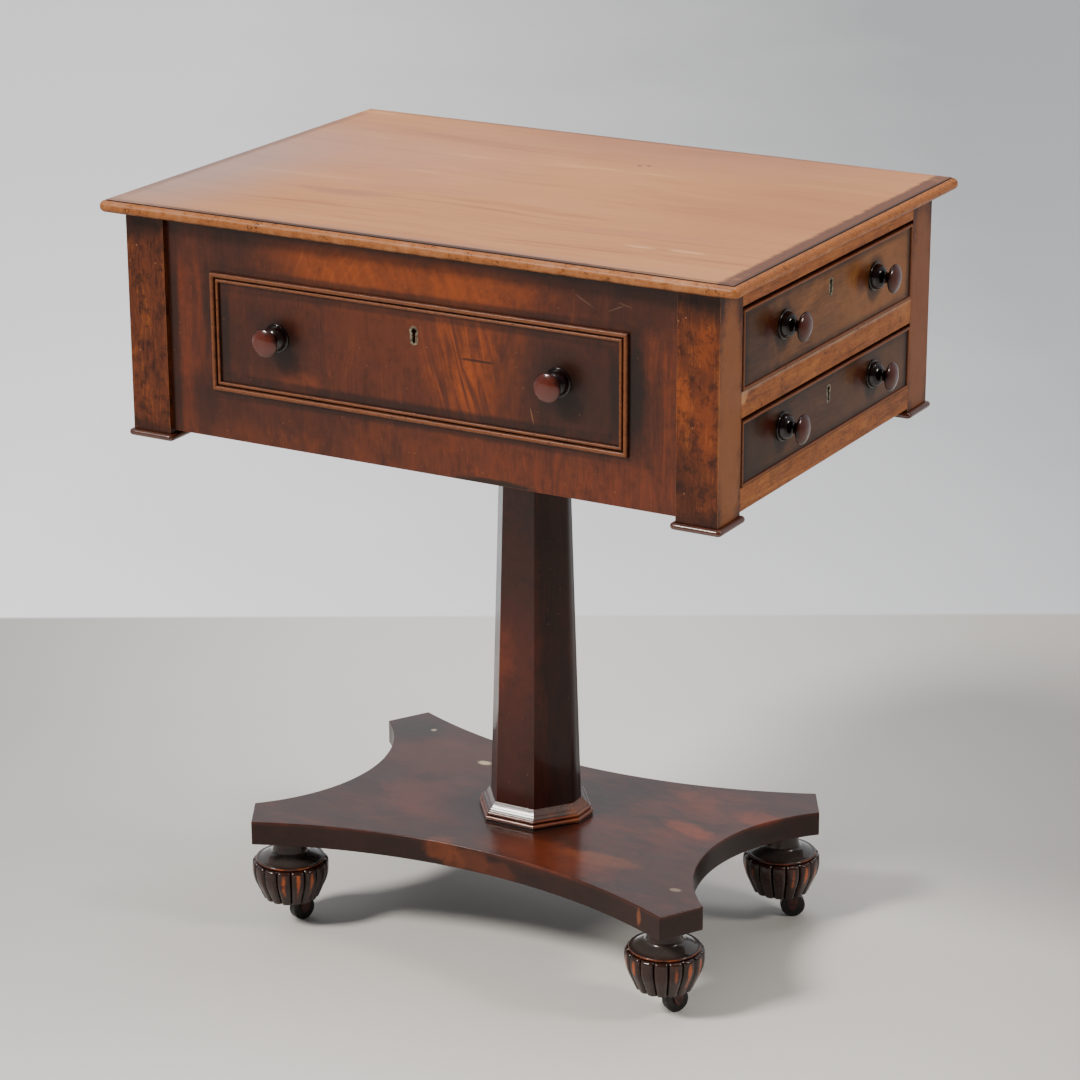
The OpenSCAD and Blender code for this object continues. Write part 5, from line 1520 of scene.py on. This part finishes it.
@dataclass
class BunFeet:
    """Four bun feet, reeded below an arris, with a smooth shoulder above it."""

    spots: tuple[Pair, ...] = ((-208, -124), (208, -124), (208, 124), (-208, 124))
    under: float = 29.0
    height: float = 65.5
    radius: float = 37.75
    middle: float = 31.5
    taper: float = 16.0
    reed_top: float = 38.5
    round: float = 3.0
    reeds: int = 16
    depth: float = 3.0
    flank: float = 4.2
    ring: Pair = (34.0, 1.3)
    dome: float = 8.7
    neck: float = 17.0
    sides: int = 288

    def finish(self) -> Wood:
        """Mahogany turned, reeded by hand, ebonised and French polished.

        That gives the eye a black gloss, the reeds' crests and the arris rubbed back to
        orange-red wood, flutes painted near black as shade, and grey dust with a painted sheen on
        the shoulder.
        """
        low = self.under + self.reed_top
        # Grey dust with a painted sheen on each shoulder.
        dust_and_sheen = tuple(Mark((x, y, low + 5), (36, 36, 5.5), "#4c4a48", 0.5, 0.2, 0.5) for x, y in self.spots)
        return Wood(
            "ebonised_reeded_mahogany", "#1a0d0a", "#2a1510", "#3c1d13", Axis.Z,
            figure=(10.0, 14.0), streak=(1.2, 14.0), pores=0.1, roughness=0.28, specular=0.22,
            coat=0.3, top_coat=0.7, coat_roughness=0.1, bump=0.08, wear_tint="#a04a1c", wear=1.0,
            grime_and_shade=0.9, grime_and_shade_tint="#050302", marks=dust_and_sheen,
        )

    def reeded(self) -> list[tuple[float, float, float, float, float]]:
        """Profile of the reeded part, from the bottom up: a straight taper, then a ball.

        Returns:
            Radius, height, wear, grime with painted shade, and depth of the flutes at each point.
        """
        lean = math.asin((self.middle - self.taper) / self.radius)
        top = self.radius * math.cos(lean)
        # The fourth value paints shade under the foot.
        line = [(0.0, 0.0, 0, 1, 0.0), (14.0, 0.0, 0, 1, 0.0), (22.0, 0.0, 0, 1, 0.5)]
        for i in range(9):
            z = self.taper * i / 9
            line.append((top - (self.taper - z) * math.tan(lean), z, 0.1 + 0.07 * i, 0.0, 1.0))
        edge = self.reed_top - self.round
        for i in range(13):
            z = self.taper + (edge - self.taper) * i / 12
            ball = math.sqrt(self.radius**2 - (z - self.middle) ** 2)
            line.append((ball, z, 0.75 + 0.5 * math.sin(math.pi * i / 12), 0.0, 1.0))
        side = line[-1][0]
        for i in range(1, 7):
            turn = math.pi / 2 * i / 6
            out = side - self.round * (1 - math.cos(turn))
            line.append((out, edge + self.round * math.sin(turn), 0.0, 0.0, 1.0))
        return line

    def smooth(self) -> list[tuple[float, float, float, float, float]]:
        """Profile over the reeds: quirk, arris bead, low dome, cove and neck.

        Returns:
            Radius, height, wear, grime with painted shade, and depth of the flutes at each point.
        """
        radius, bow = self.ring
        centre, base, top, neck = radius - bow, self.reed_top + 0.4 + bow, self.height, self.neck
        # The quirk under the arris bead is painted dark as shade.
        line = [(centre - 0.4, self.reed_top + 0.05, 0, 1.2, 0.0)]
        line.append((centre - 0.3, self.reed_top + 0.35, 0, 1.2, 0.0))
        for i in range(9):
            turn = math.radians(-90 + 200 * i / 8)
            worn = 0.62 * max(0.0, math.cos(turn))
            line.append((centre + bow * math.cos(turn), base + bow * math.sin(turn), worn, 0.0, 0.0))
        sphere = (centre**2 + self.dome**2) / (2 * self.dome)
        for i in range(1, 9):
            r = centre - 0.9 - (centre - 0.9 - neck - 3.4) * i / 8
            line.append((r, base + self.dome - sphere + math.sqrt(sphere**2 - r * r), 0, 0, 0.0))
        low = line[-1][1]
        cove = [(neck + 3.4, low), (neck + 1.4, low + 1.3), (neck + 0.2, low + 3.6), (neck, low + 7.0)]
        cove += [(neck, top - 5.0), (neck + 0.6, top - 3.2), (neck + 1.9, top - 2.2)]
        cove += [(neck + 1.95, top - 1.0), (neck + 1.9, top)]
        return line + [(r, z, 0, 0, 0) for r, z in eased_line(cove, 3)[1:]] + [(0.0, top, 0, 0, 0)]

    def foot(self, spot: Pair) -> np.ndarray:
        """Rows of one foot round its axis.

        Args:
            spot: X and Y of its axis.

        Returns:
            Rows for a ring.
        """
        profile = np.array(self.reeded() + self.smooth())
        curve = (self.depth**2 + self.flank**2) / (2 * self.depth)
        reed = profile[:, 4] > 0.3
        rows = []
        for i in range(self.sides):
            angle = 2 * math.pi * i / self.sides
            number = angle * self.reeds / (2 * math.pi)
            share = abs((number + 0.5) % 1 - 0.5) * 2
            away = (1 - share) * math.pi / self.reeds * profile[:, 0]
            flute = np.clip(self.flank - away, 0.0, self.flank)
            sunk = (curve - np.sqrt(curve**2 - flute**2)) * profile[:, 4]
            radius = np.maximum(profile[:, 0] - sunk, 0.0)
            # Each reed is rubbed to its own degree, by a wave that runs out of step with them.
            rub = 0.55 + 0.45 * math.sin(5.1 * round(number) + spot[0])
            wear = profile[:, 2] * np.where(reed, rub * np.clip(1.15 - 2.2 * share, -0.6, 1), 1)
            # Flutes are painted darker the deeper they sink: painted shade.
            grime_and_shade = profile[:, 3] + np.where(reed, np.clip((sunk - 1.2) / 1.2, 0, 1), 0)
            x, y = spot[0] + radius * math.cos(angle), spot[1] + radius * math.sin(angle)
            rows.append(np.column_stack((x, y, self.under + profile[:, 1], wear, grime_and_shade)))
        return np.array(rows)

    def dress(self) -> None:
        """Build the four feet."""
        shape = Shape()
        for spot in self.spots:
            shape.loft(self.foot(spot), ring=True, loop=False)
        shape.piece("bun_feet_reeded", "case", ["bun_feet"], self.finish().material())


@dataclass
class Castors:
    """Castors: a brass plate, an iron horn and a turned wheel at each foot."""

    names: tuple[str, ...] = ("fl", "fr", "rr", "rl")

    def dress(self) -> None:
        """Give plates, horns and wheels their finishes."""
        # Cast iron painted red-brown long ago: a dull skin with rubbed dark edges.
        horn = Metal("painted_cast_iron_horns", "#4a1c12", "#200c08", 0.1, 0.32, 4.0).material()
        # Cast iron blackened by wax and floor dirt: nearly black with a low gloss.
        wheel = Metal("blackened_iron_wheels", "#15100e", "#090606", 0.1, 0.34, 5.0).material()
        # Sheet brass, cut and drilled, gone brown: only its edges still show a yellow gleam.
        brass = Metal("tarnished_castor_brass", "#6d5a35", "#2a2014", 0.9, 0.35, 4.0).material()
        polish("castor_plates", brass, 0.2)
        for name in self.names:
            polish("horn_" + name, horn, 0.2)
            polish("wheel_" + name, wheel, 0.0)


@dataclass
class Fittings:
    """Escutcheons, locks, and the plain wood inside the case."""

    linings: tuple[str, ...] = (
        "upper_runners", "lower_runners", "drawer_guides", "kickers", "drawer_stops", "bearer"
    )
    brasses: tuple[str, ...] = (
        "case_escutcheons", "upper_escutcheon", "lower_escutcheon", "upper_lock", "lower_lock"
    )
    bolts: tuple[str, ...] = ("upper_bolt", "lower_bolt")

    def lining_finish(self) -> Wood:
        """Plain pine and oak, sawn and planed and never polished: pale, dry and dusty."""
        return Wood(
            "planed_pine_linings", "#8b6238", "#a97d4c", "#be9562", Axis.X,
            figure=(14.0, 160.0), streak=(2.2, 90.0), sway=(80.0, 5.0), pores=0.2,
            roughness=0.72, coat=0.0, bump=0.2, blotch=0.12, blotch_tint="#6d4a2a",
        )

    def dress(self, lining: Material) -> None:
        """Dress the fittings.

        Args:
            lining: The plain wood's finish.
        """
        # Sheet brass, pierced and filed: a dull yellow-grey with brown in its pits.
        brass = Metal("tarnished_sheet_brass", "#a39a86", "#4a4030", 0.85, 0.34, 2.5).material()
        # Wrought iron, filed bright and gone grey: a low gleam under brown spots.
        iron = Metal("filed_iron_bolts", "#7d7870", "#45413b", 0.95, 0.32, 3.0).material()
        groups = ((self.linings, lining, 0.5), (self.brasses, brass, 0.15), (self.bolts, iron, 0.3))
        for names, finish, eased in groups:
            for name in names:
                polish(name, finish, eased)


@dataclass
class Studio:
    """Pale floor with painted light that rises into the backdrop's tone, soft lights and the camera."""

    eye: Point = (1586.09, -2772.61, 1489.62)
    target: Point = (4.20, 2.39, 396.09)
    roll: float = -0.212
    lens: float = 117.71
    backward: Point = (-0.4952, 0.8688, 0.0)
    sideward: Point = (0.8688, 0.4952, 0.0)
    half_floor: float = 14.0

    def floor(self) -> None:
        """Build the floor: painted board, rolled matt, its colour carrying painted light and shade."""
        made, sheet = blank_material("studio_floor_painted_light")
        back = sheet.add("VectorMath", DOT, {0: sheet.place, 1: self.backward}, "Value")
        side = sheet.add("VectorMath", DOT, {0: sheet.place, 1: self.sideward}, "Value")
        # Painted light in the floor's colour: paler towards the camera, painted shade to the left and right.
        near = sheet.add("MapRange", None, {0: back, 1: -0.7, 2: 0.55})
        left = sheet.add("MapRange", SOFT_STEP, {0: side, 1: -0.15, 2: -0.8})
        left = sheet.add("Math", TIMES, {0: left, 1: near})
        right = sheet.add("MapRange", SOFT_STEP, {0: side, 1: 0.0, 2: 0.75})
        floor = sheet.stained(linear("#f2f0eb"), "#cfceca", near)
        floor = sheet.stained(sheet.stained(floor, "#aaa9a6", left), "#aaa7a2", right)
        # Paler painted backdrop beyond the wall's line, its painted shade deeper to the right in soft clouds.
        cloud = sheet.add("TexNoise", None, {"Vector": sheet.place, "Scale": 2.2, "Detail": 2.0})
        shade = sheet.add("Math", PLUS, {0: cloud, 1: 0.3, 2: side})
        dim = sheet.add("MapRange", None, {0: shade, 1: -0.5, 2: 0.95})
        wall = sheet.stained(linear("#f9fbff"), "#b4b7bc", dim)
        beyond = sheet.add("MapRange", None, {0: back, 1: 0.866, 2: 0.874})
        grit = sheet.add("TexNoise", None, {"Vector": sheet.place, "Scale": 1 / (1.5 * MM), "Detail": 3.0})
        surface = {
            "Base Color": sheet.add("Mix", COLOUR, {0: beyond, 6: floor, 7: wall}, 2),
            "Roughness": 0.6,
            "Specular IOR Level": 0.25,
            "Normal": sheet.add("Bump", None, {"Height": grit, "Strength": 0.15, "Distance": 0.2 * MM}),
        }
        sheet.add("OutputMaterial", None, {"Surface": sheet.add("BsdfPrincipled", None, surface)})
        mesh = bpy.data.meshes.new("studio_floor")
        far = self.half_floor
        mesh.from_pydata([(-far, -far, 0), (far, -far, 0), (far, far, 0), (-far, far, 0)], [], [(0, 1, 2, 3)])
        mesh.materials.append(made)
        floor_object = placed("studio_floor", mesh)

    def light(self, name: str, kind: str, power: float, colour: str, way: Vector) -> bpy.types.Object:
        """Hang a light.

        Args:
            name: Its name.
            kind: Blender's name of its kind.
            power: Its power in watts, or in watts on a square metre for a far one.
            colour: Its colour.
            way: The way back from what it lights.

        Returns:
            The light, at the origin.
        """
        lamp = bpy.data.lights.new(name, kind)
        lamp.energy = power
        lamp.color = linear(colour)[:3]
        made = placed(name, lamp)
        made.rotation_euler = way.to_track_quat("Z", "Y").to_euler()
        return made

    def softbox(self, name: str, place: Point, aim: Point, size: float, power: float, colour: str) -> None:
        """Hang a square soft light.

        Args:
            name: Its name.
            place: Where it hangs.
            aim: What it points at.
            size: Length of its sides.
            power: Its power in watts.
            colour: Its colour.
        """
        made = self.light(name, "AREA", power, colour, Vector(place) - Vector(aim))
        made.data.shape = "SQUARE"
        made.data.size = size * MM
        made.location = Vector(place) * MM

    def room(self) -> None:
        """Light the room: a white backdrop behind the table, and dimmer on the other side."""
        world = bpy.data.worlds.new("studio")
        world.use_nodes = True
        sheet = Sheet(world.node_tree, "Generated")
        back = sheet.add("VectorMath", DOT, {0: sheet.place, 1: self.backward}, "Value")
        share = sheet.add("MapRange", SOFT_STEP, {0: back, 1: -0.9, 2: 0.5})
        colour = sheet.stained(linear("#6c6f73"), "#f4f6f9", share)
        glow = sheet.add("Background", None, {"Color": colour, "Strength": 0.58})
        sheet.add("OutputWorld", None, {"Surface": glow})
        bpy.context.scene.world = world

    def camera(self) -> None:
        """Set up the camera at the photograph's angle."""
        lens = bpy.data.cameras.new("camera")
        lens.lens = self.lens
        lens.sensor_width = 36.0
        lens.clip_end = 100.0
        made = placed("camera", lens)
        made.location = Vector(self.eye) * MM
        aim = (Vector(self.target) - Vector(self.eye)).to_track_quat("-Z", "Y")
        made.rotation_mode = "QUATERNION"
        made.rotation_quaternion = aim @ Matrix.Rotation(math.radians(self.roll), 3, "Z").to_quaternion()
        bpy.context.scene.camera = made

    def dress(self) -> None:
        """Set the stage."""
        self.camera()
        self.floor()
        # A far light is as bright and as soft on the floor as on the table.
        key = self.light("key_light", "SUN", 3.4, "#fffaf2", Vector((-0.53, -0.83, 0.92)))
        key.data.angle = math.radians(13.0)
        middle = (0.0, 0.0, 420.0)
        self.softbox("top_softbox", (100.0, 300.0, 2600.0), middle, 1300.0, 42.0, "#fbfbff")
        self.softbox("side_fill", (2300.0, 250.0, 1750.0), middle, 520.0, 27.0, "#fff6ea")
        self.room()
        LOG.info("studio: camera, floor and lights")


def knob_spots(
    side: Side, distance: float, across: float, heights: Sequence[float]
) -> list[tuple[np.ndarray, float]]:
    """Places of the fixed knobs of one side, in pairs.

    Args:
        side: The side.
        distance: Of its face from the table's axis.
        across: Of each knob from the side's middle.
        heights: Of each pair over the floor.

    Returns:
        Where each knob stands, and the length of its spigot.
    """
    spigot = 14.0
    return [(side.matrix(distance, way * across, height), spigot) for height in heights for way in (-1, 1)]


def main() -> None:
    """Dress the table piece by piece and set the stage."""
    logging.basicConfig(level=logging.INFO, format="%(message)s")
    Studio().dress()
    TopBoard().dress()
    case = Case()
    case.dress()
    trim = case.trim_finish().material()
    fittings = Fittings()
    lining = fittings.lining_finish().material()
    fittings.dress(lining)
    knobs = Knobs()
    black = knobs.finish("ebonised_turned_knobs", 0.55).material()
    heights = (673.0, 580.25)
    upper = Drawer("upper", 632.5, 72.0, heights[0], DrawerTone("#43260f", "#6b4220", "#865427", "#8f5a2a"))
    lower = Drawer("lower", 546.0, 59.5, heights[1], DrawerTone("#2e1a10", "#472b18", "#5a371d", "#5c3a20"))
    for drawer in (upper, lower):
        drawer.dress(case, knobs, black, trim, lining)
    far_end = FarEnd()
    far_end.dress(case, upper.finish().material(), trim)
    spots = knob_spots(Side.FRONT, case.face, 146, (628.75,))
    spots += knob_spots(Side.REAR, case.face, 146, (628.75,))
    spots += knob_spots(Side.FAR, far_end.face, 94, heights)
    worn = knobs.finish("worn_ebonised_knobs", 0.9).material()
    knobs.dress("case_knobs_turned", "case", "case_knobs", spots, worn)
    Pillar().dress()
    Plinth().dress()
    BunFeet().dress()
    Castors().dress()


if __name__ == "__main__":
    main()
